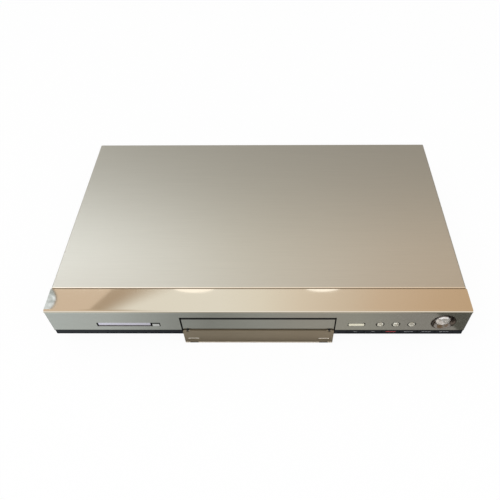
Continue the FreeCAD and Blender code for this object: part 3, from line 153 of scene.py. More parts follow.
# starts a shader node group with named sockets: {name: (type, default)}
def newGroup(name, inputs, outputs):
    tree = bpy.data.node_groups.new(name, "ShaderNodeTree")
    for key, (kind, value) in inputs.items():
        socket = tree.interface.new_socket(name=key, in_out="INPUT", socket_type=kind)
        socket.default_value = value
    for key, kind in outputs.items():
        tree.interface.new_socket(name=key, in_out="OUTPUT", socket_type=kind)
    return tree, tree.nodes.new("NodeGroupInput"), tree.nodes.new("NodeGroupOutput")


floatKind, colourKind, vectorKind = "NodeSocketFloat", "NodeSocketColor", "NodeSocketVector"


# metallic paint: a base colour varied by tiny flakes and a broad cloud, with a height for the bump
def buildFleckPaint():
    tree, a, z = newGroup("fleckPaint", {"Colour": (colourKind, (0.5, 0.5, 0.5, 1)), "Fleck": (floatKind, 0.06),
                                         "Cloud": (floatKind, 0.05), "Fineness": (floatKind, 2600.0)},
                          {"Colour": colourKind, "Height": floatKind, "Roughness shift": floatKind})
    place = addNode(tree, "ShaderNodeTexCoord")
    fine = addNode(tree, "ShaderNodeTexNoise", {"Detail": 2.0, "Roughness": 0.6})
    broad = addNode(tree, "ShaderNodeTexNoise", {"Scale": 9.0, "Detail": 3.0})
    wire(tree, place.outputs["Object"], fine.inputs["Vector"])
    wire(tree, a.outputs["Fineness"], fine.inputs["Scale"])
    wire(tree, place.outputs["Object"], broad.inputs["Vector"])
    fineSpan = addNode(tree, "ShaderNodeMapRange", {"From Min": 0.3, "From Max": 0.7, "To Min": -1.0, "To Max": 1.0})
    broadSpan = addNode(tree, "ShaderNodeMapRange", {"From Min": 0.3, "From Max": 0.7, "To Min": -1.0, "To Max": 1.0})
    wire(tree, fine.outputs["Fac"], fineSpan.inputs["Value"])
    wire(tree, broad.outputs["Fac"], broadSpan.inputs["Value"])
    fineAmount = addNode(tree, "ShaderNodeMath", operation="MULTIPLY")
    broadAmount = addNode(tree, "ShaderNodeMath", operation="MULTIPLY")
    wire(tree, fineSpan.outputs["Result"], fineAmount.inputs[0])
    wire(tree, a.outputs["Fleck"], fineAmount.inputs[1])
    wire(tree, broadSpan.outputs["Result"], broadAmount.inputs[0])
    wire(tree, a.outputs["Cloud"], broadAmount.inputs[1])
    both = addNode(tree, "ShaderNodeMath", operation="ADD")
    wire(tree, fineAmount.outputs[0], both.inputs[0])
    wire(tree, broadAmount.outputs[0], both.inputs[1])
    level = addNode(tree, "ShaderNodeMath", operation="ADD")
    level.inputs[1].default_value = 1.0
    wire(tree, both.outputs[0], level.inputs[0])
    tint = addNode(tree, "ShaderNodeVectorMath", operation="SCALE")
    wire(tree, a.outputs["Colour"], tint.inputs[0])
    wire(tree, level.outputs[0], tint.inputs["Scale"])
    wire(tree, tint.outputs[0], z.inputs["Colour"])
    wire(tree, fine.outputs["Fac"], z.inputs["Height"])
    wire(tree, broadAmount.outputs[0], z.inputs["Roughness shift"])
    return tree


# brushing: noise stretched along X, as lines of colour and a height
def buildBrushed():
    tree, a, z = newGroup("brushedLines", {"Colour": (colourKind, (0.5, 0.5, 0.5, 1)), "Depth": (floatKind, 0.12),
                                           "Across": (floatKind, 1400.0), "Along": (floatKind, 14.0)},
                          {"Colour": colourKind, "Height": floatKind})
    place = addNode(tree, "ShaderNodeTexCoord")
    stretch = addNode(tree, "ShaderNodeCombineXYZ")
    wire(tree, a.outputs["Along"], stretch.inputs["X"])
    wire(tree, a.outputs["Across"], stretch.inputs["Y"])
    wire(tree, a.outputs["Across"], stretch.inputs["Z"])
    scaled = addNode(tree, "ShaderNodeVectorMath", operation="MULTIPLY")
    wire(tree, place.outputs["Object"], scaled.inputs[0])
    wire(tree, stretch.outputs["Vector"], scaled.inputs[1])
    lines = addNode(tree, "ShaderNodeTexNoise", {"Scale": 1.0, "Detail": 3.0, "Roughness": 0.65})
    wire(tree, scaled.outputs[0], lines.inputs["Vector"])
    span = addNode(tree, "ShaderNodeMapRange", {"From Min": 0.3, "From Max": 0.7, "To Min": -1.0, "To Max": 1.0})
    wire(tree, lines.outputs["Fac"], span.inputs["Value"])
    amount = addNode(tree, "ShaderNodeMath", operation="MULTIPLY_ADD")
    amount.inputs[2].default_value = 1.0
    wire(tree, span.outputs["Result"], amount.inputs[0])
    wire(tree, a.outputs["Depth"], amount.inputs[1])
    tint = addNode(tree, "ShaderNodeVectorMath", operation="SCALE")
    wire(tree, a.outputs["Colour"], tint.inputs[0])
    wire(tree, amount.outputs[0], tint.inputs["Scale"])
    wire(tree, tint.outputs[0], z.inputs["Colour"])
    wire(tree, lines.outputs["Fac"], z.inputs["Height"])
    return tree


# handling marks and dust: a soft mask that raises roughness and lifts a dark colour a little
def buildHandled():
    tree, a, z = newGroup("handledSurface", {"Colour": (colourKind, (0.5, 0.5, 0.5, 1)), "Dust": (floatKind, 0.03),
                                             "Roughness": (floatKind, 0.3), "Smears": (floatKind, 0.08)},
                          {"Colour": colourKind, "Roughness": floatKind})
    place = addNode(tree, "ShaderNodeTexCoord")
    smear = addNode(tree, "ShaderNodeTexNoise", {"Scale": 26.0, "Detail": 4.0, "Roughness": 0.6, "Distortion": 0.6})
    specks = addNode(tree, "ShaderNodeTexNoise", {"Scale": 420.0, "Detail": 2.0, "Roughness": 0.7})
    wire(tree, place.outputs["Object"], smear.inputs["Vector"])
    wire(tree, place.outputs["Object"], specks.inputs["Vector"])
    smearSpan = addNode(tree, "ShaderNodeMapRange", {"From Min": 0.35, "From Max": 0.7})
    speckSpan = addNode(tree, "ShaderNodeMapRange", {"From Min": 0.58, "From Max": 0.75})
    wire(tree, smear.outputs["Fac"], smearSpan.inputs["Value"])
    wire(tree, specks.outputs["Fac"], speckSpan.inputs["Value"])
    rough = addNode(tree, "ShaderNodeMath", operation="MULTIPLY_ADD")
    wire(tree, smearSpan.outputs["Result"], rough.inputs[0])
    wire(tree, a.outputs["Smears"], rough.inputs[1])
    wire(tree, a.outputs["Roughness"], rough.inputs[2])
    wire(tree, rough.outputs[0], z.inputs["Roughness"])
    amount = addNode(tree, "ShaderNodeMath", operation="MULTIPLY")
    wire(tree, speckSpan.outputs["Result"], amount.inputs[0])
    wire(tree, a.outputs["Dust"], amount.inputs[1])
    mix = addNode(tree, "ShaderNodeMix", data_type="RGBA")
    mix.inputs["B"].default_value = (0.62, 0.60, 0.56, 1)
    wire(tree, amount.outputs[0], mix.inputs["Factor"])
    wire(tree, a.outputs["Colour"], mix.inputs["A"])
    wire(tree, mix.outputs["Result"], z.inputs["Colour"])
    return tree


# 1 before a plane and 0 behind it: clamp((Limit - position . Direction) / Softness + 0.5)
def buildBeforePlane():
    tree, a, z = newGroup("beforePlane", {"Direction": (vectorKind, (0, 1, 0)), "Limit": (floatKind, 0.0),
                                          "Softness": (floatKind, 0.0001)}, {"Mask": floatKind})
    place = addNode(tree, "ShaderNodeTexCoord")
    along = addNode(tree, "ShaderNodeVectorMath", operation="DOT_PRODUCT")
    wire(tree, place.outputs["Object"], along.inputs[0])
    wire(tree, a.outputs["Direction"], along.inputs[1])
    left = combine(tree, "SUBTRACT", a.outputs["Limit"], along.outputs["Value"])
    wire(tree, combine(tree, "ADD", combine(tree, "DIVIDE", left, a.outputs["Softness"]), 0.5, True), z.inputs["Mask"])
    return tree


groups = {"fleckPaint": buildFleckPaint(), "brushedLines": buildBrushed(), "handledSurface": buildHandled(),
          "beforePlane": buildBeforePlane()}


# a material with its Principled shader; constants sit on the shader's own sockets
def newMaterial(name, metallic=0.0, roughness=0.5, **sockets):
    material = bpy.data.materials.new(name)
    material.use_nodes = True
    tree = material.node_tree
    shader = tree.nodes["Principled BSDF"]
    shader.inputs["Metallic"].default_value = metallic
    shader.inputs["Roughness"].default_value = roughness
    for key, value in sockets.items():
        shader.inputs[key.replace("_", " ")].default_value = value
    return material, tree, shader


def placeGroup(tree, kind, **values):
    node = tree.nodes.new("ShaderNodeGroup")
    node.node_tree = groups[kind]
    for key, value in values.items():
        node.inputs[key.replace("_", " ")].default_value = value
    return node


def addBump(tree, shader, socket, strength, distance):
    bump = addNode(tree, "ShaderNodeBump", {"Strength": strength, "Distance": distance})
    wire(tree, socket, bump.inputs["Height"])
    wire(tree, bump.outputs["Normal"], shader.inputs["Normal"])


# silver or black paint on sheet and mouldings: flakes in colour, fine bump
def paintFinish(name, colour, metallic, roughness, fleck=0.05, cloud=0.04, fineness=2600.0, bump=0.08, **sockets):
    material, tree, shader = newMaterial(name, metallic, roughness, **sockets)
    fleckNode = placeGroup(tree, "fleckPaint", Colour=colour, Fleck=fleck, Cloud=cloud, Fineness=fineness)
    wire(tree, fleckNode.outputs["Colour"], shader.inputs["Base Color"])
    rough = addNode(tree, "ShaderNodeMath", operation="ADD")
    rough.inputs[1].default_value = roughness
    wire(tree, fleckNode.outputs["Roughness shift"], rough.inputs[0])
    wire(tree, rough.outputs[0], shader.inputs["Roughness"])
    addBump(tree, shader, fleckNode.outputs["Height"], bump, 0.0001)
    return material


def brushedFinish(name, colour, metallic, roughness, depth=0.12, across=1400.0, along=14.0, bump=0.15, **sockets):
    material, tree, shader = newMaterial(name, metallic, roughness, **sockets)
    lines = placeGroup(tree, "brushedLines", Colour=colour, Depth=depth, Across=across, Along=along)
    wire(tree, lines.outputs["Colour"], shader.inputs["Base Color"])
    addBump(tree, shader, lines.outputs["Height"], bump, 0.0001)
    return material


def mouldedFinish(name, colour, metallic, roughness, dust=0.03, smears=0.06, **sockets):
    material, tree, shader = newMaterial(name, metallic, roughness, **sockets)
    handled = placeGroup(tree, "handledSurface", Colour=colour, Dust=dust, Roughness=roughness, Smears=smears)
    wire(tree, handled.outputs["Colour"], shader.inputs["Base Color"])
    wire(tree, handled.outputs["Roughness"], shader.inputs["Roughness"])
    return material


# brushed silver on the front face only; the body of the moulding behind it is dark bare plastic that also stands in
# for the shade inside the openings, and what lies below lowest and above highest is dark too, as painted shade along
# the gaps
panelSet = dict(silver=srgb(166, 167, 161), body=srgb(30, 29, 28), metallic=0.9, roughness=0.13, bodyRoughness=0.55,
                lines=0.035, across=2400.0, along=20.0, bump=0.035, paintDepth=0.0004, fasciaTopShade=0.0015)


def panelFinish(name, frontFace, lowest, highest, c):
    material, tree, shader = newMaterial(name)
    brushed = placeGroup(tree, "brushedLines", Colour=c["silver"], Depth=c["lines"], Across=c["across"], Along=c["along"])
    front = placeGroup(tree, "beforePlane", Limit=frontFace + c["paintDepth"])
    # painted shade: these masks cut the silver off in bands along the lower and upper gaps
    above = placeGroup(tree, "beforePlane", Direction=(0, 0, -1), Limit=-lowest)
    under = placeGroup(tree, "beforePlane", Direction=(0, 0, 1), Limit=highest)
    between = combine(tree, "MULTIPLY", above.outputs["Mask"], under.outputs["Mask"])
    mask = combine(tree, "MULTIPLY", front.outputs["Mask"], between)
    wire(tree, mixColour(tree, mask, c["body"][:3], brushed.outputs["Colour"]), shader.inputs["Base Color"])
    wire(tree, line(tree, mask, c["metallic"], 0.0), shader.inputs["Metallic"])
    wire(tree, line(tree, mask, c["roughness"] - c["bodyRoughness"], c["bodyRoughness"]), shader.inputs["Roughness"])
    addBump(tree, shader, brushed.outputs["Height"], c["bump"], 0.0001)
    return material


# brushed cover sheet with a painted highlight along its front bend and a painted shade line at its very front edge
# bright is a painted highlight on the front bend; low is painted shade along the gap under it
coverSet = dict(colour=srgb(203, 200, 192), bright=srgb(244, 236, 222), low=srgb(160, 140, 114), metallic=0.85, roughness=0.31,
                lines=0.035, across=2600.0, along=16.0, bump=0.05, edge=0.0019, softness=0.0005, shadeLineDepth=0.0006)


def coverFinish(name, frontEdge, c):
    material, tree, shader = newMaterial(name, c["metallic"], c["roughness"])
    brushed = placeGroup(tree, "brushedLines", Colour=c["colour"], Depth=c["lines"], Across=c["across"], Along=c["along"])
    edge = placeGroup(tree, "beforePlane", Limit=frontEdge + c["edge"], Softness=c["softness"])
    paintedBendHighlight = mixColour(tree, edge.outputs["Mask"], brushed.outputs["Colour"], c["bright"][:3])
    # painted shade: the outermost strip of the bend takes the low colour, for the shaded gap below it
    under = placeGroup(tree, "beforePlane", Limit=frontEdge + c["shadeLineDepth"], Softness=c["softness"] / 2)
    wire(tree, mixColour(tree, under.outputs["Mask"], paintedBendHighlight, c["low"][:3]), shader.inputs["Base Color"])
    addBump(tree, shader, brushed.outputs["Height"], c["bump"], 0.0001)
    return material


# flap: brownish brushed inside with a painted highlight along its lower rim and painted shade in its latch slots,
# silver like the panel outside
# rim is a painted highlight along the flap's lower edge; the slot colour is painted shade inside the latch slots
flapSet = dict(colour=srgb(133, 121, 101), rim=srgb(238, 224, 202), slot=srgb(26, 22, 18), metallic=0.40, roughness=0.36,
               lines=0.06, across=1300.0, along=10.0, bump=0.09, highlightTall=0.0022, softness=0.0012,
               slotX=0.070, slotHalf=0.0046, slotLow=0.0003, slotTall=0.0017, slotEnd=0.0009, paintDepth=0.0004)


def flapFinish(name, lowest, outside, c):
    material, tree, shader = newMaterial(name, c["metallic"], c["roughness"])
    brushed = placeGroup(tree, "brushedLines", Colour=c["colour"], Depth=c["lines"], Across=c["across"], Along=c["along"])
    # painted highlight: a paler band along the lower edge
    rim = placeGroup(tree, "beforePlane", Direction=(0, 0, 1), Limit=lowest + c["highlightTall"], Softness=c["softness"])
    colour = mixColour(tree, rim.outputs["Mask"], brushed.outputs["Colour"], c["rim"][:3])
    # painted shade inside the two latch slots: | |x| - slotX | < slotHalf, and z between slotLow and slotLow +
    # slotTall above the edge
    place = addNode(tree, "ShaderNodeTexCoord")
    axes = addNode(tree, "ShaderNodeSeparateXYZ")
    wire(tree, place.outputs["Object"], axes.inputs["Vector"])
    aside = line(tree, combine(tree, "ABSOLUTE", axes.outputs["X"], 0.0), 1.0, -c["slotX"])
    across = line(tree, combine(tree, "ABSOLUTE", aside, 0.0), -9000.0, 9000.0 * c["slotHalf"] + 0.5, True)
    middle = lowest + c["slotLow"] + c["slotTall"] / 2
    rise = combine(tree, "ABSOLUTE", line(tree, axes.outputs["Z"], 1.0, -middle), 0.0)
    slotShadeMask = combine(tree, "MULTIPLY", across, line(tree, rise, -9000.0, 9000.0 * c["slotTall"] / 2 + 0.5, True))
    inner = placeGroup(tree, "beforePlane", Limit=outside - c["slotEnd"])
    slotShadeMask = combine(tree, "MULTIPLY", slotShadeMask, inner.outputs["Mask"])
    colour = mixColour(tree, slotShadeMask, colour, c["slot"][:3])
    outer = placeGroup(tree, "beforePlane", Direction=(0, -1, 0), Limit=c["paintDepth"] - outside).outputs["Mask"]
    wire(tree, mixColour(tree, outer, colour, panelSet["silver"][:3]), shader.inputs["Base Color"])
    wire(tree, line(tree, outer, panelSet["metallic"] - c["metallic"], c["metallic"]), shader.inputs["Metallic"])
    wire(tree, line(tree, outer, panelSet["roughness"] - c["roughness"], c["roughness"]), shader.inputs["Roughness"])
    addBump(tree, shader, brushed.outputs["Height"], c["bump"], 0.0001)
    return material


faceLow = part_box("strip_left")[1].z
finishes = {
    "silver_cover": coverFinish("silverCover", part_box("top_cover")[0].y, coverSet),
    "zinc_sheet": brushedFinish("zincSheet", srgb(178, 180, 180), 0.9, 0.42, 0.10, 500.0, 60.0),
    "mirror_trim": mouldedFinish("mirrorTrim", srgb(238, 230, 214), 1.0, 0.03, 0.004, 0.015),
    # the silver stops 0.9 mm above the black strip, leaving a band of painted shade along the gap
    "silver_front": panelFinish("silverFront", frontY, faceLow + 0.0009, topZ, panelSet),
    "gloss_black": mouldedFinish("glossBlack", srgb(26, 29, 35), 0.0, 0.16, 0.006, 0.04, Specular_IOR_Level=0.05),
    "smoked_window": mouldedFinish("smokedWindow", srgb(18, 19, 21), 0.0, 0.08, 0.01, 0.03, Specular_IOR_Level=0.35),
    "display_glass": mouldedFinish("displayGlass", srgb(92, 108, 106), 0.1, 0.12, 0.02, 0.03),
    "black_plastic": mouldedFinish("blackPlastic", srgb(34, 34, 35), 0.0, 0.48, 0.05, 0.1),
    "flap_finish": flapFinish("flapFinish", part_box("front_flap")[0].z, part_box("front_flap")[1].y, flapSet),
    "steel_pin": brushedFinish("steelPin", srgb(205, 204, 200), 1.0, 0.22, 0.04, 2500.0, 300.0, 0.05),
    "bright_cap": mouldedFinish("brightCap", srgb(214, 214, 212), 1.0, 0.13, 0.01, 0.03),
    "lilac_metal": brushedFinish("lilacMetal", srgb(212, 208, 222), 0.8, 0.30, 0.04, 1800.0, 30.0, 0.05),
    "tray_plastic": mouldedFinish("trayPlastic", srgb(58, 58, 60), 0.0, 0.42, 0.03, 0.08),
    "grey_plastic": mouldedFinish("greyPlastic", srgb(112, 112, 114), 0.0, 0.5, 0.04, 0.08),
    "white_gear": mouldedFinish("whiteGear", srgb(226, 222, 208), 0.0, 0.4, 0.02, 0.08),
    "belt_rubber": mouldedFinish("beltRubber", srgb(30, 30, 30), 0.0, 0.7, 0.05, 0.05),
    "foot_plastic": mouldedFinish("footPlastic", srgb(44, 44, 44), 0.0, 0.62, 0.06, 0.08),
    "board_green": mouldedFinish("boardGreen", srgb(38, 92, 58), 0.1, 0.36, 0.03, 0.1),
    "motor_steel": brushedFinish("motorSteel", srgb(170, 170, 170), 0.95, 0.34, 0.07, 900.0, 60.0),
    "heat_sink": brushedFinish("heatSink", srgb(176, 178, 182), 0.95, 0.38, 0.08, 900.0, 30.0),
    "copper_winding": mouldedFinish("copperWinding", srgb(206, 178, 84), 0.2, 0.4, 0.03, 0.08),
    "can_sleeve": mouldedFinish("canSleeve", srgb(36, 38, 74), 0.0, 0.22, 0.02, 0.06),
    "screw_black": paintFinish("screwBlack", srgb(40, 40, 42), 0.5, 0.36, 0.08, 0.04),
}

# black socket block whose end rings are coloured by row, as pin jacks are: red, white, yellow going up
socketSet = dict(block=srgb(34, 34, 35), rows=((0.0, srgb(176, 30, 34)), (0.36, srgb(222, 220, 212)),
                                               (0.62, srgb(214, 176, 40))), roughness=0.42, ringDeep=0.0016)


def socketFinish(name, box, c):
    material, tree, shader = newMaterial(name, 0.0, c["roughness"])
    handled = placeGroup(tree, "handledSurface", Colour=c["block"], Dust=0.04, Roughness=c["roughness"], Smears=0.1)
    place = addNode(tree, "ShaderNodeTexCoord")
    axes = addNode(tree, "ShaderNodeSeparateXYZ")
    wire(tree, place.outputs["Object"], axes.inputs["Vector"])
    tall = box[1].z - box[0].z
    rise = line(tree, axes.outputs["Z"], 1 / tall, -box[0].z / tall, True)
    rows = ramp(tree, rise, [(at, tone[:3]) for at, tone in c["rows"]], "CONSTANT")
    ends = placeGroup(tree, "beforePlane", Direction=(0, -1, 0), Limit=-(box[1].y - c["ringDeep"]))
    wire(tree, mixColour(tree, ends.outputs["Mask"], handled.outputs["Colour"], rows), shader.inputs["Base Color"])
    wire(tree, handled.outputs["Roughness"], shader.inputs["Roughness"])
    return material


# nodes whose look differs from the rest of their slot
ownFinishes = {
    # the fascia's top 1.5 mm is left dark as painted shade under the opening's upper edge
    "tray_fascia": panelFinish("fasciaFront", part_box("tray_fascia")[0].y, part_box("tray_fascia")[0].z,
                               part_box("tray_fascia")[1].z - panelSet["fasciaTopShade"], panelSet),
    "av_sockets": socketFinish("socketBlock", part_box("av_sockets"), socketSet),
    "open_button": mouldedFinish("creamCap", srgb(246, 243, 222), 0.35, 0.30, 0.01, 0.05),
    "flap_roller_left": mouldedFinish("rollerLeft", srgb(255, 248, 236), 0.75, 0.22, 0.01, 0.05),
    "flap_roller_right": mouldedFinish("rollerRight", srgb(255, 248, 236), 0.75, 0.22, 0.01, 0.05),
}
slotOf = {part["node"]: part["material_slot"] for part in frame["record"]["subparts"]}
for name, node in nodes.items():
    node.data.materials.clear()
    node.data.materials.append(ownFinishes.get(name, finishes[slotOf[name]]))
print("stage 3: finishes on the carried-over nodes")


# smooth curve through a profile's points: Catmull-Rom spans, started as if mirrored across the axis
def smoothProfile(points, steps):
    p = np.array(points, float)
    q = np.vstack([p[1] * (-1, 1), p, 2 * p[-1] - p[-2]])
    t = np.linspace(0, 1, steps, endpoint=False)[None, :, None]
    a, b, c, d = (q[k:len(q) - 3 + k][:, None, :] for k in range(4))
    curve = 0.5 * (2 * b + (c - a) * t + (2 * a - 5 * b + 4 * c - d) * t ** 2 + (3 * b - a - 3 * c + d) * t ** 3)
    return np.vstack([curve.reshape(-1, 2), p[-1]])


# a closed turned form in millimetres: ring i and angle j give u = r cos(j), v = r sin(j), w = height,
# with one point at each end of the axis
def turned(profile, segments):
    profile = np.asarray(profile, float)
    angle = np.linspace(0, 2 * math.pi, segments, endpoint=False)
    rings = profile[1:-1]
    u = rings[:, :1] * np.cos(angle)
    v = rings[:, :1] * np.sin(angle)
    w = np.repeat(rings[:, 1:], segments, axis=1)
    grid = np.stack([u, v, w], axis=2).reshape(-1, 3)
    points = np.vstack([[0, 0, profile[0, 1]], grid, [0, 0, profile[-1, 1]]])
    j = np.arange(segments)
    k = (j + 1) % segments
    start = 1 + np.arange(len(rings) - 1)[:, None] * segments
    quads = np.stack([start + j, start + k, start + segments + k, start + segments + j], axis=2).reshape(-1, 4)
    last = 1 + (len(rings) - 1) * segments
    caps = [(0, int(b), int(a)) for a, b in zip(1 + j, 1 + k)]
    caps += [(len(points) - 1, int(a), int(b)) for a, b in zip(last + j, last + k)]
    return points, quads.tolist() + caps


# sets a form's own axes (u, v, w) at a place in the frame; millimetres become metres
def placed(points, place, uAxis, vAxis, wAxis):
    return points @ np.array([uAxis, vAxis, wAxis], float) / 1000 + np.array(place)


def addPiece(name, points, faces, material, body, stoodFor=None, sharp=32.0):
    mesh = bpy.data.meshes.new(name)
    mesh.from_pydata(np.asarray(points).tolist(), [], faces)
    form = bmesh.new()
    form.from_mesh(mesh)
    bmesh.ops.recalc_face_normals(form, faces=form.faces)
    form.to_mesh(mesh)
    form.free()
    mesh.shade_smooth()
    mesh.set_sharp_from_angle(angle=math.radians(sharp))
    mesh.materials.append(material)
    piece = bpy.data.objects.new(name, mesh)
    bpy.context.scene.collection.objects.link(piece)
    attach(piece, body)
    if stoodFor:
        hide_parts(stoodFor)
    return piece


# a flat outline in (x, z) given depth along y
def plate(outline, y0, y1):
    outline = np.asarray(outline, float)
    n = len(outline)
    front = np.column_stack([outline[:, 0], np.full(n, y0), outline[:, 1]])
    back = np.column_stack([outline[:, 0], np.full(n, y1), outline[:, 1]])
    j = np.arange(n)
    sides = np.stack([j, (j + 1) % n, (j + 1) % n + n, j + n], axis=1).tolist()
    return np.vstack([front, back]), [list(range(n)), list(range(2 * n - 1, n - 1, -1))] + sides


# chrome that is slightly uneven, so that it mirrors in patches
def unevenChrome(name, colour, dark, metallic, roughness, scale, strength):
    material, tree, shader = newMaterial(name, metallic, roughness)
    place = addNode(tree, "ShaderNodeTexCoord")
    waves = addNode(tree, "ShaderNodeTexNoise", {"Scale": scale, "Detail": 1.0, "Roughness": 0.4})
    wire(tree, place.outputs["Object"], waves.inputs["Vector"])
    handled = placeGroup(tree, "handledSurface", Dust=0.01, Roughness=roughness, Smears=0.05)
    patches = line(tree, waves.outputs["Fac"], 4.0, -1.5, True)
    wire(tree, mixColour(tree, patches, dark[:3], colour[:3]), handled.inputs["Colour"])
    wire(tree, handled.outputs["Colour"], shader.inputs["Base Color"])
    wire(tree, handled.outputs["Roughness"], shader.inputs["Roughness"])
    addBump(tree, shader, waves.outputs["Fac"], strength, 0.0006)
    return material


# round buttons: turned domes with a fine rim, one for each round_button node
buttonSet = dict(dome=((0, 0.0), (1.1, 0.03), (2.0, 0.15), (2.7, 0.38), (3.15, 0.70), (3.42, 1.02)),
                 skirt=((3.5, 1.25), (3.5, 4.1), (4.9, 4.1), (4.9, 4.9), (1.5, 4.9), (1.5, 10.8), (0, 10.8)),
                 segments=72, steps=6)


def buildRoundButtons(s):
    chrome = unevenChrome("buttonChrome", srgb(255, 254, 242), srgb(164, 160, 146), 0.6, 0.20, 760.0, 0.7)
    profile = np.vstack([smoothProfile(s["dome"], s["steps"]), s["skirt"]])
    points, faces = turned(profile, s["segments"])
    for word in ("left", "middle", "right"):
        low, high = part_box("round_button_" + word)
        place = ((low.x + high.x) / 2, low.y, (low.z + high.z) / 2)
        addPiece("domedButton_" + word, placed(points, place, (1, 0, 0), (0, 0, 1), (0, 1, 0)), faces, chrome,
                 "round_" + word, "round_button_" + word)


# jog knob: dome with a finger dimple, ribbed skirt: radius less depth * (0.5 - 0.5 cos(ribs * angle)) ** 2
knobSet = dict(dome=((0, 0.0), (1.3, 0.03), (2.6, 0.16), (4.8, 0.6), (6.2, 1.2), (7.3, 2.05)), skirtTop=2.6, skirtEnd=3.9,
               radius=7.6, shaft=3.0, shaftEnd=9.6, ribs=24, ribDeep=0.35, segments=192, steps=9,
               dimple=(1.7, 2.0), dimpleWide=0.8, dimpleDeep=0.6)


def buildKnob(s):
    dome = smoothProfile(s["dome"], s["steps"])
    skirt = [(s["radius"], h) for h in np.linspace(s["skirtTop"], s["skirtEnd"], 6)]
    rest = [(s["shaft"], s["skirtEnd"]), (s["shaft"], s["shaftEnd"]), (0, s["shaftEnd"])]
    points, faces = turned(np.vstack([dome, skirt, rest]), s["segments"])
    angle = np.arctan2(points[:, 1], points[:, 0])
    onSkirt = (np.hypot(points[:, 0], points[:, 1]) > s["radius"] - 0.01)
    rib = s["ribDeep"] * (0.5 - 0.5 * np.cos(s["ribs"] * angle)) ** 2
    points[:, :2] *= (1 - np.where(onSkirt, rib, 0) / s["radius"])[:, None]
    away = (points[:, 0] - s["dimple"][0]) ** 2 + (points[:, 1] - s["dimple"][1]) ** 2
    onDome = points[:, 2] < s["skirtTop"]
    points[:, 2] += np.where(onDome, s["dimpleDeep"] * np.exp(-away / s["dimpleWide"] ** 2), 0)
    low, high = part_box("jog_knob")
    place = ((low.x + high.x) / 2, low.y, (low.z + high.z) / 2)
    chrome = unevenChrome("knobChrome", srgb(254, 252, 250), srgb(226, 220, 214), 0.72, 0.07, 330.0, 0.6)
    addPiece("turnedKnob", placed(points, place, (1, 0, 0), (0, 0, 1), (0, 1, 0)), faces, chrome,
             "jog", "jog_knob")


# dish around the knob: rim, conical wall and floor with a hole, as one turned ring
# bright is a painted reflection on the dish's lower part
dishSet = dict(profile=((3.4, 6.0), (3.4, 4.6), (8.5, 4.6), (9.0, 4.5), (11.3, 0.9), (11.7, 0.42), (12.2, 0.0),
                        (12.7, 0.0), (12.7, 2.4), (14.1, 2.41), (14.1, 3.6), (12.5, 4.0), (9.2, 6.0)), segments=144,
               dark=(srgb(122, 112, 106), srgb(62, 56, 52)), bright=srgb(132, 126, 120), reflectionPaintedBelow=0.0066, softness=0.005)


def buildDish(s):
    profile = np.array(s["profile"], float)
    n, m = len(profile), s["segments"]
    angle = np.linspace(0, 2 * math.pi, m, endpoint=False)
    grid = np.stack([profile[:, :1] * np.cos(angle), profile[:, :1] * np.sin(angle),
                     np.repeat(profile[:, 1:], m, axis=1)], axis=2).reshape(-1, 3)
    i, j = np.meshgrid(np.arange(n), np.arange(m), indexing="ij")
    i2, j2 = (i + 1) % n, (j + 1) % m
    faces = np.stack([i * m + j, i * m + j2, i2 * m + j2, i2 * m + j], axis=2).reshape(-1, 4).tolist()
    low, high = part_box("jog_dish")
    place = ((low.x + high.x) / 2, low.y, (low.z + high.z) / 2)
    chrome = unevenChrome("dishChrome", *s["dark"], 1.0, 0.10, 300.0, 0.5)
    tree = chrome.node_tree
    shader = tree.nodes["Principled BSDF"]
    # painted reflection: the lower part of the dish is painted lighter, for the table it mirrors
    paintedReflectionMask = placeGroup(tree, "beforePlane", Direction=(0, 0, 1), Limit=place[2] - s["reflectionPaintedBelow"], Softness=s["softness"])
    uneven = shader.inputs["Base Color"].links[0].from_socket
    wire(tree, mixColour(tree, paintedReflectionMask.outputs["Mask"], uneven, s["bright"][:3]), shader.inputs["Base Color"])
    addPiece("turnedDish", placed(grid, place, (1, 0, 0), (0, 0, 1), (0, 1, 0)), faces, chrome,
             "case", "jog_dish")


# case screws: domed head less a cross recess, and a shank; w runs outwards
screwSet = dict(head=((0, 1.6), (1.2, 1.58), (2.0, 1.45), (2.6, 1.15), (3.0, 0.75), (3.18, 0.35)),
                shank=((3.2, 0.0), (1.6, 0.0), (1.6, -6.9), (0, -6.9)), arm=1.55, half=0.36, soft=0.14, deep=0.9,
                segments=120, steps=7, sideY=(0.0603, 0.2405), sideZ=0.021, coverX=(-0.140008, 0.0, 0.140008),
                coverY=0.2645, coverZ=0.059, panelX=(-0.200, -0.052, 0.07199, 0.200), panelY=0.2627, panelZ=0.015,
                frontX=0.215)


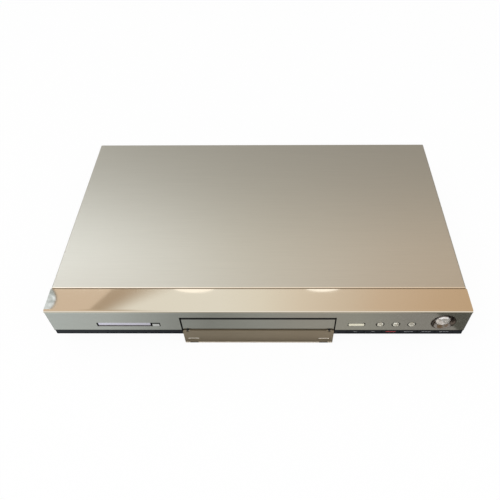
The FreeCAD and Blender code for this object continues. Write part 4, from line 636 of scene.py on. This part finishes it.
def buildScrews(s):
    profile = np.vstack([smoothProfile(s["head"], s["steps"]), s["shank"]])
    points, faces = turned(profile, s["segments"])

    def inArm(a, b):
        along = np.clip((s["arm"] - np.abs(a)) / s["soft"], 0, 1)
        across = np.clip((s["half"] - np.abs(b)) / s["soft"], 0, 1)
        return along * across

    cross = np.maximum(inArm(points[:, 0], points[:, 1]), inArm(points[:, 1], points[:, 0]))
    points[:, 2] -= np.where(points[:, 2] > 0.1, s["deep"] * cross, 0)
    spots = []
    for y in s["sideY"]:
        spots.append(((-s["frontX"], y, s["sideZ"]), (0, 1, 0), (0, 0, 1), (-1, 0, 0)))
        spots.append(((s["frontX"], y, s["sideZ"]), (0, 1, 0), (0, 0, 1), (1, 0, 0)))
    spots += [((x, s["coverY"], s["coverZ"]), (1, 0, 0), (0, 0, 1), (0, 1, 0)) for x in s["coverX"]]
    spots += [((x, s["panelY"], s["panelZ"]), (1, 0, 0), (0, 0, 1), (0, 1, 0)) for x in s["panelX"]]
    allPoints, allFaces = [], []
    for place, u, v, w in spots:
        base = len(allPoints) * len(points)
        allPoints.append(placed(points, (place[0], place[1] + frontY, place[2]), u, v, w))
        allFaces += [[base + k for k in face] for face in faces]
    addPiece("crossScrews", np.vstack(allPoints), allFaces, finishes["screw_black"], "case", "case_screws")


# dark strip in the gap between mirror band and cover, as painted shade of the gap: half an ellipse drawn along x
gapShadeSet = dict(inset=0.0008, drop=0.0006, tall=0.0014, overlap=0.0001, points=15)


def buildGapShade(s):
    y0, y1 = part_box("mirror_band")[1].y - s["overlap"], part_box("top_cover")[0].y + s["overlap"]
    turn = np.linspace(0, math.pi, s["points"])
    y = (y0 + y1) / 2 + (y1 - y0) / 2 * np.cos(turn)
    z = topZ - s["drop"] - s["tall"] * (1 - np.sin(turn))
    x = halfWide - s["inset"]
    n = len(y)
    points = np.vstack([np.column_stack([np.full(n, side * x), y, z]) for side in (-1, 1)])
    j = np.arange(n)
    faces = np.stack([j, (j + 1) % n, (j + 1) % n + n, j + n], axis=1).tolist()
    faces += [list(range(n)), list(range(2 * n - 1, n - 1, -1))]
    # painted shade: a dark brown material for the shaded gap
    shadeDark = mouldedFinish("gapShadeDark", srgb(48, 34, 24), 0.0, 0.75, 0.02, 0.05, Specular_IOR_Level=0.1)
    addPiece("gapShadeStrip", points, faces, shadeDark, "case")


# plain symbols on the six keys: two chevrons, a red bar and short dashes, in millimetres from the key's middle
markSet = dict(high=0.0247, proud=0.00005, deep=0.0002, chevron=(1.7, 0.62, 0.24), bar=(5.2, 0.5),
               dashes=((-4.6, -1.6), (-0.9, 1.2), (1.9, 4.7)), dashHalf=0.33)


def buildMarks(s):
    pale = mouldedFinish("markPale", srgb(150, 152, 156), 0.0, 0.5, 0.01, 0.04)
    red = mouldedFinish("markRed", srgb(168, 34, 44), 0.0, 0.45, 0.01, 0.04)
    wide, tall, half = s["chevron"]
    chevron = np.array([(-wide, tall + half), (0, -tall + half), (wide, tall + half),
                        (wide, tall - half), (0, -tall - half), (-wide, tall - half)])
    turn = np.linspace(0, 2 * math.pi, 40, endpoint=False)
    halfBar, barRound = s["bar"]
    bar = np.column_stack([np.sign(np.cos(turn)) * (halfBar - barRound) + barRound * np.cos(turn), barRound * np.sin(turn)])
    dashes = [np.array([(a, -s["dashHalf"]), (b, -s["dashHalf"]), (b, s["dashHalf"]), (a, s["dashHalf"])])
              for a, b in s["dashes"]]
    drawn = [[chevron], [chevron * (1, -1)], [bar], dashes, dashes, dashes]
    for index, outlines in enumerate(drawn):
        node = "strip_key_" + str(index + 1)
        low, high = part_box(node)
        for count, outline in enumerate(outlines):
            shape = outline / 1000 + ((low.x + high.x) / 2, s["high"])
            points, faces = plate(shape, low.y - s["proud"], low.y + s["deep"])
            material = red if index == 2 else pale
            addPiece("keyMark_" + str(index + 1) + "_" + str(count + 1), points, faces, material,
                     "key_" + str(index + 1))


buildRoundButtons(buttonSet)
buildKnob(knobSet)
buildDish(dishSet)
buildScrews(screwSet)
buildGapShade(gapShadeSet)
buildMarks(markSet)
print("stage 4: buttons, knob, dish, screws, seal and key symbols")



# stage: floor, reflection cards, lamps and world
stageSet = dict(floorSize=14.0, floorTone=0.93, floorGlow=0.95, keyPower=26.0, fillPower=9.0, worldLevel=0.62)


def stagePlane(name, corners, material, glossyOnly=False):
    mesh = bpy.data.meshes.new(name)
    mesh.from_pydata(corners, [], [(0, 1, 2, 3)])
    item = bpy.data.objects.new(name, mesh)
    mesh.materials.append(material)
    bpy.context.scene.collection.objects.link(item)
    if glossyOnly:
        item.visible_camera = False
        item.visible_diffuse = False
        item.visible_transmission = False
        item.visible_volume_scatter = False
        item.visible_shadow = False
    return item


# one output that is 1 for what the camera, mirrors and glass see, and 0 for the light itself
def seenRays(tree):
    path = addNode(tree, "ShaderNodeLightPath")
    first = addNode(tree, "ShaderNodeMath", operation="MAXIMUM")
    wire(tree, path.outputs["Is Camera Ray"], first.inputs[0])
    wire(tree, path.outputs["Is Glossy Ray"], first.inputs[1])
    second = addNode(tree, "ShaderNodeMath", operation="MAXIMUM")
    wire(tree, first.outputs[0], second.inputs[0])
    wire(tree, path.outputs["Is Transmission Ray"], second.inputs[1])
    return second.outputs[0]


# pale floor: mostly plain white where it is seen, the rest shaded so that it keeps the soft shadow
def buildFloor(s):
    material, tree, shader = newMaterial("paleFloor", 0.0, 0.85)
    place = addNode(tree, "ShaderNodeTexCoord")
    grain = addNode(tree, "ShaderNodeTexNoise", {"Scale": 60.0, "Detail": 2.0})
    wire(tree, place.outputs["Object"], grain.inputs["Vector"])
    tone = addNode(tree, "ShaderNodeMapRange", {"To Min": s["floorTone"] - 0.01, "To Max": s["floorTone"] + 0.01})
    wire(tree, grain.outputs["Fac"], tone.inputs["Value"])
    wire(tree, tone.outputs["Result"], shader.inputs["Base Color"])
    glow = addNode(tree, "ShaderNodeEmission", {"Color": (1, 1, 1, 1), "Strength": 1.0})
    share = addNode(tree, "ShaderNodeMath", operation="MULTIPLY")
    share.inputs[1].default_value = s["floorGlow"]
    wire(tree, seenRays(tree), share.inputs[0])
    mix = addNode(tree, "ShaderNodeMixShader")
    wire(tree, share.outputs[0], mix.inputs["Fac"])
    wire(tree, shader.outputs["BSDF"], mix.inputs[1])
    wire(tree, glow.outputs["Emission"], mix.inputs[2])
    wire(tree, mix.outputs["Shader"], tree.nodes["Material Output"].inputs["Surface"])
    half = s["floorSize"] / 2
    stagePlane("studioFloor", [(-half, -half, 0), (half, -half, 0), (half, half, 0), (-half, half, 0)], material)


# white for what the camera and mirrors see, a plain level for the light itself
def buildWorld(s):
    world = bpy.data.worlds.new("studioWorld")
    bpy.context.scene.world = world
    world.use_nodes = True
    tree = world.node_tree
    back = tree.nodes["Background"]
    back.inputs["Color"].default_value = (1, 1, 1, 1)
    level = addNode(tree, "ShaderNodeMapRange", {"To Min": s["worldLevel"], "To Max": 1.0})
    wire(tree, seenRays(tree), level.inputs["Value"])
    wire(tree, level.outputs["Result"], back.inputs["Strength"])


# the room behind and overhead, which only polished and satin metal see: x across, z up, in metres
roomSet = dict(behind=0.8, halfWide=2.4, low=0.02, top=1.6, ahead=2.7, bandZ=1.119,
               pane=((0.42, 0.48, 0.52), (1.0, 1.12, 1.28)), frame=(0.26, 0.22, 0.18), tan=(0.70, 0.575, 0.467),
               brown=(0.47, 0.375, 0.285), cream=(0.84, 0.83, 0.785),
               paneEdge=-0.757, paneCurve=0.02, paneMiddle=1.205, paneSpan=0.07, paneSlope=0.544, rimWide=0.0055,
               shadeX=-0.566, shadeSlope=0.898, shadeWide=0.235, shadeNarrow=0.70,
               lamps=((-0.274, 1.104, 0.081, 0.041), (0.188, 1.103, 0.069, 0.036)), lampTone=(1.22, 1.18, 1.12),
               warmTones=((-0.19, (0.84, 0.83, 0.785)), (-0.04, (0.81, 0.78, 0.71)), (0.108, (0.754, 0.681, 0.591)),
                          (0.294, (0.676, 0.576, 0.475)), (0.405, (0.646, 0.514, 0.396)),
                          (0.627, (0.595, 0.445, 0.315)), (0.80, (0.57, 0.42, 0.285))),
               nearTones=((-1.3, (4.2, 4.5, 4.7)), (-0.62, (3.2, 3.4, 3.5)), (-0.1, (1.60, 1.52, 1.30)),
                          (0.45, (1.36, 1.10, 0.84)), (1.0, (1.20, 0.92, 0.62))),
               farTones=((-1.3, (0.70, 0.70, 0.64)), (-0.3, (0.42, 0.41, 0.37)), (0.3, (0.33, 0.31, 0.27)),
                         (1.0, (0.28, 0.26, 0.20))), farZ=0.42, nearZ=1.08, riseCurve=2.4)


def cardMaterial(name):
    material = bpy.data.materials.new(name)
    material.use_nodes = True
    tree = material.node_tree
    tree.nodes.remove(tree.nodes["Principled BSDF"])
    place = addNode(tree, "ShaderNodeTexCoord")
    parts = addNode(tree, "ShaderNodeSeparateXYZ")
    wire(tree, place.outputs["Object"], parts.inputs["Vector"])
    return material, tree, place.outputs["Object"], parts.outputs


def cardGlow(tree, colour):
    glow = addNode(tree, "ShaderNodeEmission", {"Strength": 1.0})
    wire(tree, colour, glow.inputs["Color"])
    wire(tree, glow.outputs["Emission"], tree.nodes["Material Output"].inputs["Surface"])


# stops given by x in metres, as places on a ramp that spans the card
def rampAcross(tree, across, halfWide, tones):
    return ramp(tree, across, [((x + halfWide) / (2 * halfWide), tone) for x, tone in tones], "LINEAR")


def buildRoomCard(s):
    material, tree, position, axis = cardMaterial("roomCard")
    x, z = axis["X"], axis["Z"]
    across = line(tree, x, 0.5 / s["halfWide"], 0.5, True)
    near = rampAcross(tree, across, s["halfWide"], s["nearTones"])
    far = rampAcross(tree, across, s["halfWide"], s["farTones"])
    rise = line(tree, z, 1 / (s["nearZ"] - s["farZ"]), -s["farZ"] / (s["nearZ"] - s["farZ"]), True)
    lower = mixColour(tree, combine(tree, "POWER", rise, s["riseCurve"]), far, near)
    # a shade with a slanting left edge, x + slope * (z - bandZ) = shadeX, that fades out to the right
    up = line(tree, z, 1.0, -s["bandZ"])
    slanted = combine(tree, "ADD", x, line(tree, up, s["shadeSlope"], 0.0))
    wide = combine(tree, "MAXIMUM", line(tree, up, -s["shadeNarrow"], s["shadeWide"]), 0.08)
    inShade = combine(tree, "DIVIDE", line(tree, slanted, 1.0, -s["shadeX"]), wide)
    shaded = ramp(tree, line(tree, inShade, 0.5, 0.25, True),
                  [(0.0, s["tan"]), (0.235, s["tan"]), (0.27, s["brown"]), (0.34, s["brown"]), (0.82, s["cream"])])
    warm = rampAcross(tree, across, s["halfWide"], s["warmTones"])
    upper = mixColour(tree, line(tree, x, 12.0, 3.4, True), shaded, warm)
    # a bright pane along the card's far left, bounded by w + curve * q * q = edge with w = x + slope * up
    q = line(tree, z, 1 / s["paneSpan"], -s["paneMiddle"] / s["paneSpan"])
    bow = line(tree, combine(tree, "MULTIPLY", q, q), s["paneCurve"], 0.0)
    w = combine(tree, "ADD", combine(tree, "ADD", x, line(tree, up, s["paneSlope"], 0.0)), bow)
    streaks = addNode(tree, "ShaderNodeTexNoise", {"Scale": 34.0, "Detail": 2.0, "Distortion": 1.2})
    wire(tree, position, streaks.inputs["Vector"])
    mottle = mixColour(tree, line(tree, streaks.outputs["Fac"], 3.0, -1.0, True), *s["pane"])
    rim = line(tree, w, -350.0, 350.0 * (s["paneEdge"] + s["rimWide"]) + 0.5, True)
    inside = line(tree, w, -350.0, 350.0 * s["paneEdge"] + 0.5, True)
    upper = mixColour(tree, rim, upper, s["frame"])
    upper = mixColour(tree, inside, upper, mottle)
    colour = mixColour(tree, line(tree, up, 20.0, 1.1, True), lower, upper)
    for lampX, lampZ, halfX, halfZ in s["lamps"]:
        dx = line(tree, x, 1 / halfX, -lampX / halfX)
        dz = line(tree, z, 1 / halfZ, -lampZ / halfZ)
        apart = combine(tree, "ADD", combine(tree, "MULTIPLY", dx, dx), combine(tree, "MULTIPLY", dz, dz))
        colour = mixColour(tree, line(tree, apart, -6.0, 6.5, True), colour, s["lampTone"])
    cardGlow(tree, colour)
    y, half, low, top = frontY + s["behind"], s["halfWide"], s["low"], s["top"]
    stagePlane("roomCard", [(-half, y, low), (half, y, low), (half, y, top), (-half, y, top)], material, True)


# the ceiling goes on with the room's upper tones, so that rounded edges mirror them too
def buildCeilingCard(s):
    material, tree, position, axis = cardMaterial("ceilingCard")
    across = line(tree, axis["X"], 0.42 / s["halfWide"], 0.5, True)
    tones = ((-0.9, s["tan"]), (-0.66, s["tan"]), (-0.60, s["brown"]), (-0.45, s["cream"])) + s["warmTones"]
    cardGlow(tree, rampAcross(tree, across, s["halfWide"], tones))
    y0, y1, half, top = frontY - s["ahead"], frontY + s["behind"], s["halfWide"], s["top"]
    stagePlane("ceilingCard", [(-half, y0, top), (half, y0, top), (half, y1, top), (-half, y1, top)], material, True)


# the table before the recorder, seen only in its satin face, black strip and knob
tableSet = dict(height=0.0008, halfWide=1.4, ahead=1.2, under=0.12, span=0.3, darkX=0.2005, darkSlope=0.83,
                darkY=-0.040, fadeY=-0.085, fadeRate=30.0, shadowY=-0.008, shadowRate=250.0, shadow=(0.02, 0.022, 0.026),
                tones=((-0.26, (1.0, 1.06, 1.06)), (-0.17, (0.88, 0.91, 0.90)), (-0.10, (0.56, 0.57, 0.55)),
                       (-0.055, (0.45, 0.45, 0.42)), (0.0, (0.56, 0.55, 0.51)), (0.06, (0.62, 0.57, 0.51)),
                       (0.11, (0.61, 0.58, 0.51)), (0.17, (0.50, 0.46, 0.42))),
                dark=(0.14, 0.13, 0.10), beyond=(0.24, 0.22, 0.19))


def buildTableCard(s):
    material, tree, position, axis = cardMaterial("tableCard")
    x, y = axis["X"], axis["Y"]
    colour = rampAcross(tree, line(tree, x, 0.5 / s["span"], 0.5, True), s["span"], s["tones"])
    # beyond the line x = darkX + darkSlope * (y - frontY - darkY) lies a darker thing
    slant = combine(tree, "ADD", x, line(tree, y, -s["darkSlope"], s["darkSlope"] * (frontY + s["darkY"])))
    colour = mixColour(tree, line(tree, slant, 600.0, -600.0 * s["darkX"] + 0.5, True), colour, s["dark"])
    fade = line(tree, y, -s["fadeRate"], s["fadeRate"] * (frontY + s["fadeY"]), True)
    colour = mixColour(tree, fade, colour, s["beyond"])
    shade = line(tree, y, s["shadowRate"], -s["shadowRate"] * (frontY + s["shadowY"]), True)
    cardGlow(tree, mixColour(tree, shade, colour, s["shadow"]))
    half, y0, y1, z = s["halfWide"], frontY - s["ahead"], frontY + s["under"], s["height"]
    stagePlane("tableCard", [(-half, y0, z), (half, y0, z), (half, y1, z), (-half, y1, z)], material, True)


def areaLamp(name, place, aim, size, power, colour=(1, 1, 1)):
    data = bpy.data.lights.new(name, "AREA")
    data.size = size
    data.energy = power
    data.color = colour
    lamp = bpy.data.objects.new(name, data)
    lamp.location = place
    lamp.rotation_euler = (Vector(aim) - Vector(place)).to_track_quat("-Z", "Y").to_euler()
    lamp.visible_glossy = False
    bpy.context.scene.collection.objects.link(lamp)


buildFloor(stageSet)
buildWorld(stageSet)
buildRoomCard(roomSet)
buildCeilingCard(roomSet)
buildTableCard(tableSet)
areaLamp("keyLamp", (-1.2, -0.9, 2.2), (0, 0, 0.05), 1.6, stageSet["keyPower"])
areaLamp("fillLamp", (1.4, -1.2, 1.5), (0, 0, 0.05), 1.6, stageSet["fillPower"])
print("stage 5: studio set")
